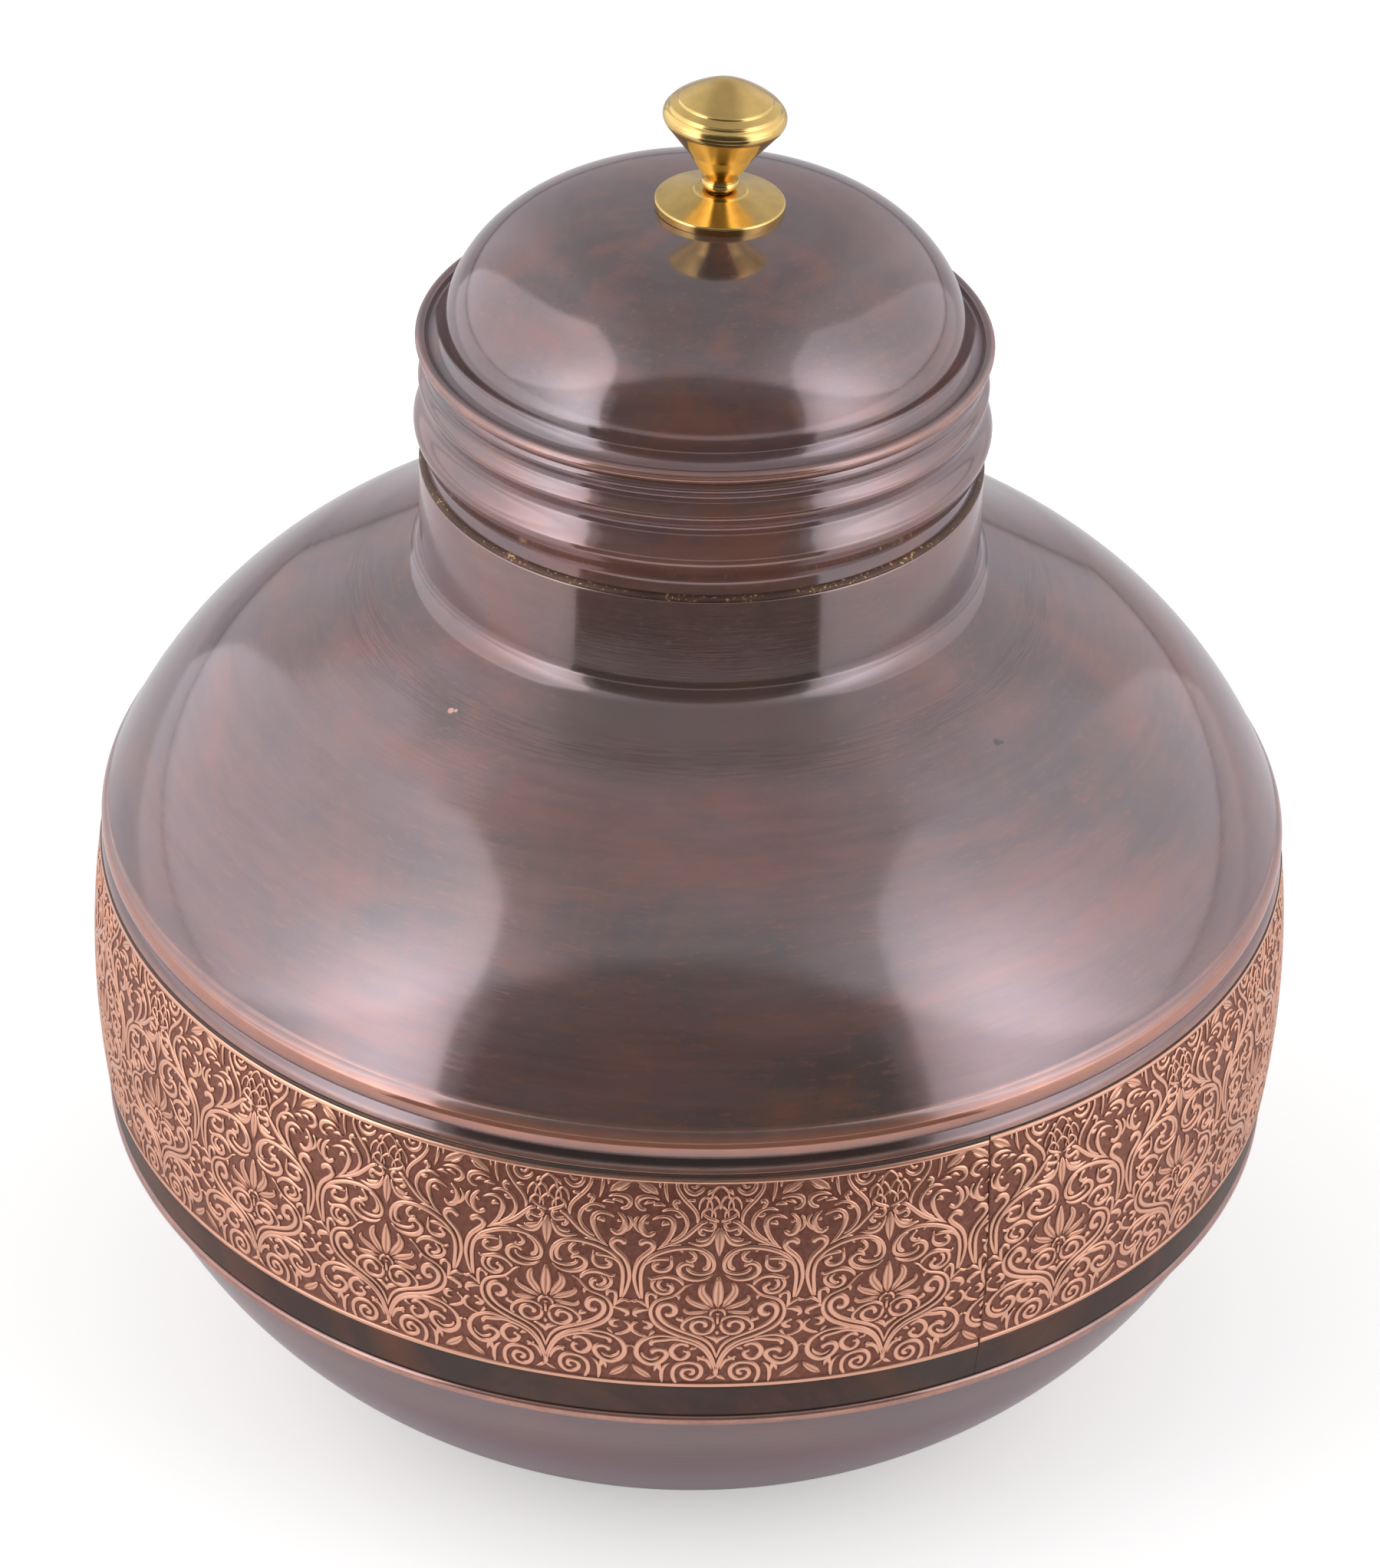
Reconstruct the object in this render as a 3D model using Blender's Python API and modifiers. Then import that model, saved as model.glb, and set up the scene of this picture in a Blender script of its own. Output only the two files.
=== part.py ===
"""A spun copper water pot: a bowl, a rolled and etched band, a shoulder, a ribbed mouth
and a domed lid that lifts off by a turned brass knob. Metres, +Z up, origin under the base.
"""

import math

import bmesh
import bpy

OBJECT_NAME = "copper_water_pot"

# Sheet metal and fits
SHEET = 0.0009
CLEARANCE = 0.0003
LAP_LENGTH = 0.0085
BRAZE_LEG = 0.0012

# Bowl, from the ground up
STANDING_RING_RADIUS = 0.0783
STANDING_RING_WIDTH = 0.0060
BASE_BEVEL = 0.0010
BASE_RECESS = 0.0020
BASE_RECESS_SLOPE = 0.0040
BOWL_HEIGHT = 0.0577
BOWL_ARC_RADIUS = 0.1095
BOWL_SETBACK = 0.0014
BOWL_BEAD_HEIGHT = 0.0024
BOWL_BEAD_OVERHANG = 0.0003
BOWL_BEAD_ROUNDING = 0.0009

# Etched band, with its seam at the front right, counted from the front
BAND_HEIGHT = 0.0610
BAND_EDGE_RADIUS = 0.1265
BAND_SWELL = 0.0023
BAND_EDGE_ROUNDING = 0.0004
BAND_SEAM_AZIMUTH = 28.6
BAND_SEAM_WIDTH = 0.0012

# Shoulder and neck
GROOVE_HEIGHT = 0.0032
GROOVE_DEPTH = 0.0021
GROOVE_JOGGLE = 0.0017
SHOULDER_BEAD_HEIGHT = 0.0053
SHOULDER_BEAD_SETBACK = 0.0006
SHOULDER_BEAD_STEP = 0.0009
SHOULDER_BEAD_BEVEL = 0.0008
SHOULDER_BEAD_ROUNDING = 0.0009
SHOULDER_RISE = 0.0589
SHOULDER_ARC_RADIUS = 0.0922
SHOULDER_SLOPE = 30.5
NECK_RADIUS = 0.0582
NECK_FILLET_RADIUS = 0.0055
NECK_HEIGHT = 0.0218

# Ribbed mouth ring, with its wired lip rolled from and to these angles
MOUTH_HEIGHT = 0.0269
LOWER_RIB_CENTRE = 0.0096
LOWER_RIB_HALF_HEIGHT = 0.0061
LOWER_RIB_RISE = 0.0023
UPPER_RIB_CENTRE = 0.0193
UPPER_RIB_HALF_HEIGHT = 0.0033
UPPER_RIB_RISE = 0.0013
LIP_SETBACK = 0.0007
LIP_BEAD_RADIUS = 0.0016
LIP_ROLL = (235.0, -55.0)

# Lid, whose rim is rolled from and to these angles
LID_SHEET = 0.0010
DOME_HEIGHT = 0.0258
DOME_ROUNDNESS = 3.0
DOME_FULLNESS = 1.7
BRIM_FILLET_RADIUS = 0.0037
BRIM_EDGE = 0.0009
RIM_OVERHANG = 0.0013
RIM_BEAD_RADIUS = 0.0013
RIM_BEAD_RISE = 0.0001
RIM_ROLL = (150.0, -130.0)
SKIRT_PLAY = 0.0007
SKIRT_DEPTH = 0.0145
SKIRT_LAP = 0.0030

# Knob, which sits a little to the right of the lid's middle and leans that way
KNOB_OFFSET = 0.0022
KNOB_LEAN = 1.5
ROSETTE_RADIUS = 0.0132
ROSETTE_EDGE = 0.0014
ROSETTE_RISE = 0.0046
ROSETTE_ROUNDING = 0.0004
ROSETTE_COLLAR_RADIUS = 0.0063
ROSETTE_SEAT_WIDTH = 0.0018
ROSETTE_HOLLOW = 0.0020
KNOB_RADIUS = 0.0124
KNOB_RIM_HEIGHT = 0.0154
KNOB_RIM_ROUNDING = 0.0020
KNOB_RIM_ROLL = (60.0, -45.0)
KNOB_STEP_RISE = 0.0024
KNOB_STEP_INSET = 0.0018
KNOB_INNER_STEP_RISE = 0.0012
KNOB_INNER_STEP_INSET = 0.0011
KNOB_STEP_DEPTH = 0.0003
KNOB_CROWN_RISE = 0.0054
KNOB_CROWN_POWER = 1.2
KNOB_CROWN_SHARES = (0.0, 0.15, 0.45, 0.75, 1.0)
KNOB_WAIST_RADIUS = 0.0070
KNOB_WAIST_HEIGHT = 0.0082
KNOB_NECK_RADIUS = 0.0034
KNOB_FOOT_BEAD_RADIUS = 0.0038
KNOB_FOOT_BEAD_HEIGHT = 0.0024
SCREW_RADIUS = 0.0020
SCREW_CHAMFER = 0.0005
SCREW_ENGAGEMENT = 0.0080
SCREW_HEAD_RADIUS = 0.0040
SCREW_HEAD_HEIGHT = 0.0026
SCREW_HEAD_ROUNDING = 0.0013
SCREW_SLOT_WIDTH = 0.0010
SCREW_SLOT_DEPTH = 0.0012
WASHER_RADIUS = 0.0060
WASHER_THICKNESS = 0.0010

# Fineness of the faceted shapes
TURN_STEPS = 40
SMALL_TURN_STEPS = 24
CORNER_POINTS = 3
FILLET_POINTS = 4
BEAD_POINTS = 7
BRIM_POINTS = 5
KNOB_ROLL_POINTS = 5
WALL_POINTS = 9
SHOULDER_POINTS = 8
BAND_POINTS = 7
BAND_INSIDE_POINTS = 5
MOUTH_POINTS = 16
DOME_POINTS = 11
ON_AXIS_MERGE = 0.00002

# Levels, radii and seats that follow from the sizes above
BEAD_BOTTOM = BOWL_HEIGHT
BEAD_TOP = BEAD_BOTTOM + BOWL_BEAD_HEIGHT
BAND_BOTTOM = BEAD_TOP + CLEARANCE
BAND_TOP = BAND_BOTTOM + BAND_HEIGHT
SHOULDER_BEAD_BOTTOM = BAND_TOP + GROOVE_HEIGHT
SHOULDER_BOTTOM = SHOULDER_BEAD_BOTTOM + SHOULDER_BEAD_HEIGHT
NECK_FOOT = SHOULDER_BOTTOM + SHOULDER_RISE
NECK_TOP = NECK_FOOT + NECK_HEIGHT
MOUTH_TOP = NECK_TOP + MOUTH_HEIGHT
LIP_CENTRE = MOUTH_TOP - LIP_BEAD_RADIUS
BRIM_TOP = MOUTH_TOP + CLEARANCE + LID_SHEET
DOME_FOOT = BRIM_TOP + BRIM_FILLET_RADIUS
BOWL_TOP_RADIUS = BAND_EDGE_RADIUS - BOWL_SETBACK
BOWL_BEAD_RADIUS = BAND_EDGE_RADIUS + BOWL_BEAD_OVERHANG
GROOVE_RADIUS = BAND_EDGE_RADIUS - GROOVE_DEPTH
SHOULDER_BEAD_RADIUS = BAND_EDGE_RADIUS - SHOULDER_BEAD_SETBACK
SHOULDER_EDGE_RADIUS = SHOULDER_BEAD_RADIUS - SHOULDER_BEAD_STEP
MOUTH_WALL_RADIUS = NECK_RADIUS - SHEET - CLEARANCE
LIP_RADIUS = MOUTH_WALL_RADIUS - LIP_SETBACK
RIM_RADIUS = LIP_RADIUS + RIM_OVERHANG
DOME_RADIUS = RIM_RADIUS - BRIM_EDGE - BRIM_FILLET_RADIUS
SKIRT_RADIUS = LIP_RADIUS - LIP_BEAD_RADIUS - SKIRT_PLAY
SCREW_HOLE_RADIUS = SCREW_RADIUS + CLEARANCE

COLOURS = {
    "patina_copper": ((0.115, 0.070, 0.062), 0.34),
    "etched_copper": ((0.360, 0.180, 0.130), 0.38),
    "polished_brass": ((0.750, 0.480, 0.130), 0.16),
    "braze_alloy": ((0.620, 0.430, 0.200), 0.40),
    "steel": ((0.560, 0.560, 0.550), 0.32),
}


def point_on_arc(centre, radius, angle):
    """The point of a circle in the profile plane at an angle from the outward direction."""
    return (centre[0] + radius * math.cos(angle), centre[1] + radius * math.sin(angle))


def arc(centre, radius, start, end, count):
    """Points of an arc from one angle to another, both ends included."""
    return [
        point_on_arc(centre, radius, start + (end - start) * i / (count - 1))
        for i in range(count)
    ]


def arc_between(start, end, radius, count):
    """An arc from start down to end that bulges away from the axis."""
    middle = ((start[0] + end[0]) / 2, (start[1] + end[1]) / 2)
    run = (end[0] - start[0], end[1] - start[1])
    half = math.hypot(*run) / 2
    back = math.sqrt(radius**2 - half**2) / (2 * half)
    centre = (middle[0] + run[1] * back, middle[1] - run[0] * back)
    first = math.atan2(start[1] - centre[1], start[0] - centre[0])
    last = math.atan2(end[1] - centre[1], end[0] - centre[0])
    return arc(centre, radius, first, last, count)


def arc_from_slope(foot, slope, radius, end, count):
    """An arc that leaves the straight line through foot, falling at slope, and reaches end."""
    along = (math.cos(slope), -math.sin(slope))
    normal = (math.sin(slope), math.cos(slope))
    base = (foot[0] - normal[0] * radius, foot[1] - normal[1] * radius)
    to_end = (end[0] - base[0], end[1] - base[1])
    run = to_end[0] * along[0] + to_end[1] * along[1]
    off = to_end[0] * normal[0] + to_end[1] * normal[1]
    run -= math.sqrt(radius**2 - off**2)
    centre = (base[0] + along[0] * run, base[1] + along[1] * run)
    last = math.atan2(end[1] - centre[1], end[0] - centre[0])
    return arc(centre, radius, math.pi / 2 - slope, last, count)


def rounded(corners, count=CORNER_POINTS):
    """A path through (radius, height, fillet) corners, with an arc at each filleted one."""
    path = [corners[0][:2]]
    for before, corner, after in zip(corners, corners[1:], corners[2:]):
        if corner[2] == 0:
            path.append(corner[:2])
            continue
        ways = []
        for other in (before, after):
            way = (other[0] - corner[0], other[1] - corner[1])
            length = math.hypot(*way)
            ways.append((way[0] / length, way[1] / length))
        spread = math.acos(ways[0][0] * ways[1][0] + ways[0][1] * ways[1][1])
        reach = corner[2] / math.sin(spread / 2)
        bisector = (ways[0][0] + ways[1][0], ways[0][1] + ways[1][1])
        size = math.hypot(*bisector)
        centre = (
            corner[0] + bisector[0] / size * reach,
            corner[1] + bisector[1] / size * reach,
        )
        tangent = corner[2] / math.tan(spread / 2)
        ends = [
            (corner[0] + way[0] * tangent - centre[0], corner[1] + way[1] * tangent - centre[1])
            for way in ways
        ]
        first = math.atan2(ends[0][1], ends[0][0])
        turn = math.atan2(
            ends[0][0] * ends[1][1] - ends[0][1] * ends[1][0],
            ends[0][0] * ends[1][0] + ends[0][1] * ends[1][1],
        )
        path += arc(centre, corner[2], first, first + turn, count)
    path.append(corners[-1][:2])
    return path


def offset_inward(path, distance):
    """The path moved by a sheet's thickness to its inner side, square to itself at each point."""
    moved = []
    for i, point in enumerate(path):
        before = path[max(i - 1, 0)]
        after = path[min(i + 1, len(path) - 1)]
        back = (point[0] - before[0], point[1] - before[1])
        ahead = (after[0] - point[0], after[1] - point[1])
        sides = [side for side in (back, ahead) if math.hypot(*side) > 0]
        units = [(s[0] / math.hypot(*s), s[1] / math.hypot(*s)) for s in sides]
        mean = (sum(u[0] for u in units), sum(u[1] for u in units))
        size = math.hypot(*mean)
        stretch = distance / (size / len(units))
        moved.append((point[0] + mean[1] / size * stretch, point[1] - mean[0] / size * stretch))
    return moved


def band_radius(height):
    """The band's outer radius at a height: a shallow barrel, fullest at its middle."""
    from_middle = (height - BAND_BOTTOM) / BAND_HEIGHT * 2 - 1
    return BAND_EDGE_RADIUS + BAND_SWELL * (1 - from_middle**2)


def lap_radius(height):
    """The outer radius of a lap that lies inside the band."""
    return band_radius(height) - SHEET - CLEARANCE


def rib(height, centre, half_height, rise):
    """How far one rolled rib stands out at a height above the neck's top edge."""
    along = (height - centre) / half_height
    return rise * math.cos(along * math.pi / 2) ** 2 if abs(along) < 1 else 0.0


def mouth_radius(height):
    """The mouth ring's outer radius at a height above the neck's top edge."""
    lower = rib(height, LOWER_RIB_CENTRE, LOWER_RIB_HALF_HEIGHT, LOWER_RIB_RISE)
    upper = rib(height, UPPER_RIB_CENTRE, UPPER_RIB_HALF_HEIGHT, UPPER_RIB_RISE)
    return MOUTH_WALL_RADIUS + lower + upper


def dome_height(radius):
    """The height of the dome's outer surface above its foot."""
    return DOME_HEIGHT * (1 - (radius / DOME_RADIUS) ** DOME_ROUNDNESS) ** (1 / DOME_FULLNESS)


def levels(start, end, count):
    """Evenly spaced values from start to end."""
    return [start + (end - start) * i / (count - 1) for i in range(count)]


def clear_scene():
    for obj in list(bpy.data.objects):
        bpy.data.objects.remove(obj, do_unlink=True)


def new_collection(name):
    collection = bpy.data.collections.new(name)
    bpy.context.scene.collection.children.link(collection)
    return collection


def make_material(name):
    colour, roughness = COLOURS[name]
    material = bpy.data.materials.new(name)
    material.use_nodes = True
    shader = material.node_tree.nodes["Principled BSDF"]
    shader.inputs["Base Color"].default_value = (*colour, 1.0)
    shader.inputs["Roughness"].default_value = roughness
    shader.inputs["Metallic"].default_value = 1.0
    return material


class Workshop:
    """Holds the collections and materials, and turns profiles into named pieces."""

    def __init__(self):
        self.parts = new_collection(OBJECT_NAME)
        self.cutters = new_collection("cutters")
        self.materials = {name: make_material(name) for name in COLOURS}

    def add(self, name, mesh, material, parent=None):
        piece = bpy.data.objects.new(name, mesh)
        self.parts.objects.link(piece)
        piece.data.materials.append(self.materials[material])
        piece.parent = parent
        return piece

    def turned(self, name, profile, material, steps=TURN_STEPS, parent=None):
        """A looped profile turned about Z, without the side that lies along Z, if it has one."""
        mesh = bpy.data.meshes.new(name)
        ends = zip(range(len(profile)), [*range(1, len(profile)), 0])
        edges = [(i, j) for i, j in ends if max(profile[i][0], profile[j][0]) > 0]
        mesh.from_pydata([(radius, 0.0, height) for radius, height in profile], edges, [])
        piece = self.add(name, mesh, material, parent)
        screw = piece.modifiers.new("turn", "SCREW")
        screw.steps = steps
        screw.render_steps = steps
        screw.use_merge_vertices = True
        screw.merge_threshold = ON_AXIS_MERGE
        screw.use_smooth_shade = True
        return piece

    def cutter(self, name, mesh, parent=None):
        tool = bpy.data.objects.new(name, mesh)
        self.cutters.objects.link(tool)
        tool.parent = parent
        tool.hide_render = True
        tool.display_type = "WIRE"
        return tool

    def boolean(self, piece, tool, operation):
        step = piece.modifiers.new(tool.name, "BOOLEAN")
        step.operation = operation
        step.solver = "EXACT"
        step.object = tool


def box_mesh(name, low, high):
    """A box between two corners."""
    mesh = bpy.data.meshes.new(name)
    shape = bmesh.new()
    bmesh.ops.create_cube(shape, size=1.0)
    for vertex in shape.verts:
        vertex.co = [
            (a + b) / 2 + side * (b - a) for a, b, side in zip(low, high, vertex.co)
        ]
    shape.to_mesh(mesh)
    shape.free()
    return mesh


def cylinder_mesh(name, radius, bottom, top):
    """An upright cylinder about Z."""
    mesh = bpy.data.meshes.new(name)
    shape = bmesh.new()
    bmesh.ops.create_cone(
        shape,
        cap_ends=True,
        segments=SMALL_TURN_STEPS,
        radius1=radius,
        radius2=radius,
        depth=top - bottom,
    )
    bmesh.ops.translate(shape, verts=shape.verts, vec=(0, 0, (bottom + top) / 2))
    shape.to_mesh(mesh)
    shape.free()
    return mesh


def lap_path(start, end, count=2):
    """A lap's outer face inside the band, from one height to another."""
    return [(lap_radius(height), height) for height in levels(start, end, count)]


def make_lower_bowl(shop):
    """One spun sheet: lap, bead that carries the band, round wall, standing ring, recessed base."""
    lap = lap_path(BEAD_TOP + LAP_LENGTH, BEAD_TOP + CLEARANCE)
    bead = rounded(
        [
            (lap_radius(BEAD_TOP), BEAD_TOP, 0),
            (BOWL_BEAD_RADIUS, BEAD_TOP, BOWL_BEAD_ROUNDING),
            (BOWL_BEAD_RADIUS, BEAD_BOTTOM, BOWL_BEAD_ROUNDING),
            (BOWL_TOP_RADIUS, BEAD_BOTTOM, 0),
        ]
    )
    wall_top = (BOWL_TOP_RADIUS, BEAD_BOTTOM)
    wall_bottom = (STANDING_RING_RADIUS, BASE_BEVEL)
    wall = arc_between(wall_top, wall_bottom, BOWL_ARC_RADIUS, WALL_POINTS)
    ring_inside = STANDING_RING_RADIUS - STANDING_RING_WIDTH
    base = [
        (STANDING_RING_RADIUS - BASE_BEVEL, 0.0),
        (ring_inside, 0.0),
        (ring_inside - BASE_RECESS_SLOPE, BASE_RECESS),
        (0.0, BASE_RECESS),
    ]
    outside = lap + bead[:-1] + wall + base
    sheet_path = lap + wall + base
    inside = offset_inward(sheet_path, SHEET)
    shop.turned("lower_bowl", outside + inside[::-1], "patina_copper")
    lap_top = BEAD_TOP + LAP_LENGTH
    braze_ring(shop, "lower_band_braze", band_radius(lap_top) - SHEET, lap_top, 1)


def braze_ring(shop, name, wall, edge, side):
    """A fillet of brazing alloy inside a lap: against the wall, above (1) or below (-1) an edge."""
    outer = wall - CLEARANCE
    near = edge + side * CLEARANCE
    far = near + side * BRAZE_LEG
    profile = [(outer, max(near, far)), (outer, min(near, far)), (outer - BRAZE_LEG, near)]
    shop.turned(name, profile, "braze_alloy")


def band_profile():
    """The band's section, with its outer edges rounded."""
    high = BAND_TOP - BAND_EDGE_ROUNDING
    low = BAND_BOTTOM + BAND_EDGE_ROUNDING
    outside = [(band_radius(height), height) for height in levels(high, low, BAND_POINTS)]
    top = (BAND_EDGE_RADIUS - BAND_EDGE_ROUNDING, BAND_TOP)
    bottom = (BAND_EDGE_RADIUS - BAND_EDGE_ROUNDING, BAND_BOTTOM)
    heights = levels(BAND_BOTTOM, BAND_TOP, BAND_INSIDE_POINTS)
    inside = [(band_radius(height) - SHEET, height) for height in heights]
    return [top] + outside + [bottom] + inside


def seam_box(shop, name, width):
    """A thin upright box that runs past the band on all sides at its seam."""
    outer = BAND_EDGE_RADIUS + BAND_SWELL + SHEET
    inner = BAND_EDGE_RADIUS - 2 * SHEET
    low = (-width / 2, -outer, BAND_BOTTOM - SHEET)
    high = (width / 2, -inner, BAND_TOP + SHEET)
    mesh = box_mesh(name, low, high)
    tool = shop.cutter(name, mesh)
    tool.rotation_euler = (0, 0, math.radians(BAND_SEAM_AZIMUTH))
    return tool


def make_etched_band(shop):
    """A strip of etched sheet rolled to a barrel, its ends joined by a brazed butt seam."""
    band = shop.turned("etched_band", band_profile(), "etched_copper")
    slit = seam_box(shop, "band_slit", BAND_SEAM_WIDTH)
    shop.boolean(band, slit, "DIFFERENCE")
    seam = shop.turned("band_seam_braze", band_profile(), "braze_alloy")
    bar = seam_box(shop, "band_seam_bar", BAND_SEAM_WIDTH - 2 * CLEARANCE)
    shop.boolean(seam, bar, "INTERSECT")


def shoulder_slope_path():
    """The shoulder's outer line: neck, fillet, straight slope, then an arc down to the bead."""
    slope = math.radians(SHOULDER_SLOPE)
    foot = (NECK_RADIUS, NECK_FOOT)
    edge = (SHOULDER_EDGE_RADIUS, SHOULDER_BOTTOM)
    curve = arc_from_slope(foot, slope, SHOULDER_ARC_RADIUS, edge, SHOULDER_POINTS)
    neck = rounded(
        [
            (NECK_RADIUS, NECK_TOP, 0),
            (NECK_RADIUS, NECK_FOOT, NECK_FILLET_RADIUS),
            (*curve[0], 0),
        ],
        FILLET_POINTS,
    )
    return neck[:-1] + curve


def make_shoulder(shop):
    """One spun sheet: neck, sloping shoulder, bead, groove, and the lap inside the band."""
    slope_path = shoulder_slope_path()
    bead_top = SHOULDER_BOTTOM - SHOULDER_BEAD_BEVEL
    bead = rounded(
        [
            (SHOULDER_EDGE_RADIUS, SHOULDER_BOTTOM, 0),
            (SHOULDER_BEAD_RADIUS, bead_top, SHOULDER_BEAD_ROUNDING),
            (SHOULDER_BEAD_RADIUS, SHOULDER_BEAD_BOTTOM, SHOULDER_BEAD_ROUNDING),
            (GROOVE_RADIUS, SHOULDER_BEAD_BOTTOM, 0),
        ]
    )
    lap_end = BAND_TOP - LAP_LENGTH
    lap = [(GROOVE_RADIUS, BAND_TOP)] + lap_path(BAND_TOP - GROOVE_JOGGLE, lap_end)
    outside = slope_path + bead[1:] + lap
    behind_bead = [(GROOVE_RADIUS, SHOULDER_BEAD_BOTTOM)]
    inside = offset_inward(slope_path + behind_bead + lap, SHEET)
    shop.turned("shoulder", outside + inside[::-1], "patina_copper")
    braze_ring(shop, "upper_band_braze", band_radius(lap_end) - SHEET, lap_end, -1)


def make_mouth_ring(shop):
    """A beaded ring with a wired lip, let into the neck and brazed round its top edge."""
    wall_top = MOUTH_HEIGHT - 2 * LIP_BEAD_RADIUS - CLEARANCE
    heights = levels(wall_top, 2 * CLEARANCE, MOUTH_POINTS)
    wall = [(mouth_radius(height), NECK_TOP + height) for height in heights]
    outside = wall + [(MOUTH_WALL_RADIUS, NECK_TOP - LAP_LENGTH)]
    inside = offset_inward(outside, SHEET)
    centre = (LIP_RADIUS, LIP_CENTRE)
    start, end = map(math.radians, LIP_ROLL)
    lip = arc(centre, LIP_BEAD_RADIUS, start, end, BEAD_POINTS)
    shop.turned("mouth_ring", lip + outside + inside[::-1], "patina_copper")
    foot = NECK_TOP + CLEARANCE
    inner = MOUTH_WALL_RADIUS + CLEARANCE
    fillet = [(inner, foot + NECK_RADIUS - inner), (NECK_RADIUS, foot), (inner, foot)]
    shop.turned("neck_braze", fillet, "braze_alloy")


def dome_path():
    """The lid's outer line from its top to where the brim meets the rim bead."""
    radii = [DOME_RADIUS * math.sin(angle) for angle in levels(0, math.pi / 2, DOME_POINTS)]
    dome = [(radius, DOME_FOOT + dome_height(radius)) for radius in radii[:-1]]
    centre = (DOME_RADIUS + BRIM_FILLET_RADIUS, DOME_FOOT)
    brim = arc(centre, BRIM_FILLET_RADIUS, math.pi, math.pi * 1.5, BRIM_POINTS)
    return dome + brim


def make_lid(shop, knob_frame):
    """The domed lid with its rolled rim, and the skirt brazed inside that centres it."""
    sheet_path = dome_path()
    rim_centre = (RIM_RADIUS, BRIM_TOP + RIM_BEAD_RISE)
    start, end = map(math.radians, RIM_ROLL)
    rim = arc(rim_centre, RIM_BEAD_RADIUS, start, end, BEAD_POINTS)
    inside = offset_inward(sheet_path, LID_SHEET)
    outside = sheet_path[:-1] + rim
    lid = shop.turned("lid_dome", outside + inside[::-1], "patina_copper")
    hole = cylinder_mesh("lid_hole", SCREW_HOLE_RADIUS, -LID_SHEET * 3, LID_SHEET * 3)
    shop.boolean(lid, shop.cutter("lid_hole", hole, knob_frame), "DIFFERENCE")
    make_lid_skirt(shop)


def dome_inner_radius(height):
    """The radius of the dome's inner face at a height near its foot."""
    share = 1 - ((height - DOME_FOOT) / DOME_HEIGHT) ** DOME_FULLNESS
    return DOME_RADIUS * share ** (1 / DOME_ROUNDNESS) - LID_SHEET


def make_lid_skirt(shop):
    """A short tube under the lid, set in at its top to lap inside the dome's foot."""
    centre = (DOME_RADIUS + BRIM_FILLET_RADIUS, DOME_FOOT)
    sweep = BRIM_FILLET_RADIUS + LID_SHEET + CLEARANCE
    turn = math.acos((centre[0] - SKIRT_RADIUS) / sweep)
    joggle = arc(centre, sweep, math.pi, math.pi + turn, FILLET_POINTS)
    skirt_top = DOME_FOOT + SKIRT_LAP
    top = (dome_inner_radius(skirt_top) - CLEARANCE, skirt_top)
    bottom = (SKIRT_RADIUS, BRIM_TOP - SKIRT_DEPTH)
    outside = [top] + joggle + [bottom]
    inside = offset_inward(outside, SHEET)
    shop.turned("lid_skirt", outside + inside[::-1], "patina_copper")
    wall = dome_inner_radius(skirt_top + CLEARANCE + BRAZE_LEG)
    braze_ring(shop, "lid_braze", wall, skirt_top, 1)


def make_knob_frame(shop):
    """An empty on the dome's outer face where the knob's axis passes through it."""
    frame = bpy.data.objects.new("knob_axis", None)
    shop.parts.objects.link(frame)
    frame.location = (KNOB_OFFSET, 0, DOME_FOOT + dome_height(KNOB_OFFSET))
    frame.rotation_euler = (0, math.radians(KNOB_LEAN), 0)
    return frame


def rosette_seat():
    """The height of the rosette's underside over the frame: its rim rests on the falling dome."""
    fall = dome_height(KNOB_OFFSET) - dome_height(ROSETTE_RADIUS - KNOB_OFFSET)
    return CLEARANCE - fall


def make_rosette(shop, knob_frame):
    """A cone-topped washer under the knob, hollow below so that only its rim rests on the lid."""
    seat = rosette_seat()
    collar_top = seat + ROSETTE_RISE
    profile = rounded(
        [
            (SCREW_HOLE_RADIUS, collar_top, 0),
            (ROSETTE_COLLAR_RADIUS, collar_top, 0),
            (ROSETTE_RADIUS, seat + ROSETTE_EDGE, ROSETTE_ROUNDING),
            (ROSETTE_RADIUS, seat, ROSETTE_ROUNDING),
            (ROSETTE_RADIUS - ROSETTE_SEAT_WIDTH, seat, 0),
            (ROSETTE_COLLAR_RADIUS, seat + ROSETTE_HOLLOW, 0),
            (SCREW_HOLE_RADIUS, seat + ROSETTE_HOLLOW, 0),
        ]
    )
    shop.turned("knob_rosette", profile, "polished_brass", SMALL_TURN_STEPS, knob_frame)
    return collar_top


def knob_crown():
    """The knob's top from its tip: a low cone that rounds over, then two turned steps."""
    step_height = KNOB_RIM_HEIGHT + KNOB_STEP_RISE
    step_radius = KNOB_RADIUS - KNOB_STEP_INSET
    inner_height = step_height + KNOB_INNER_STEP_RISE
    inner_radius = step_radius - KNOB_INNER_STEP_INSET
    cone = []
    for share in KNOB_CROWN_SHARES:
        fall = KNOB_CROWN_RISE * share**KNOB_CROWN_POWER
        cone.append((inner_radius * share, inner_height + KNOB_CROWN_RISE - fall))
    return cone + [
        (inner_radius, inner_height - KNOB_STEP_DEPTH),
        (step_radius, step_height),
        (step_radius, step_height - KNOB_STEP_DEPTH),
    ]


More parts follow.
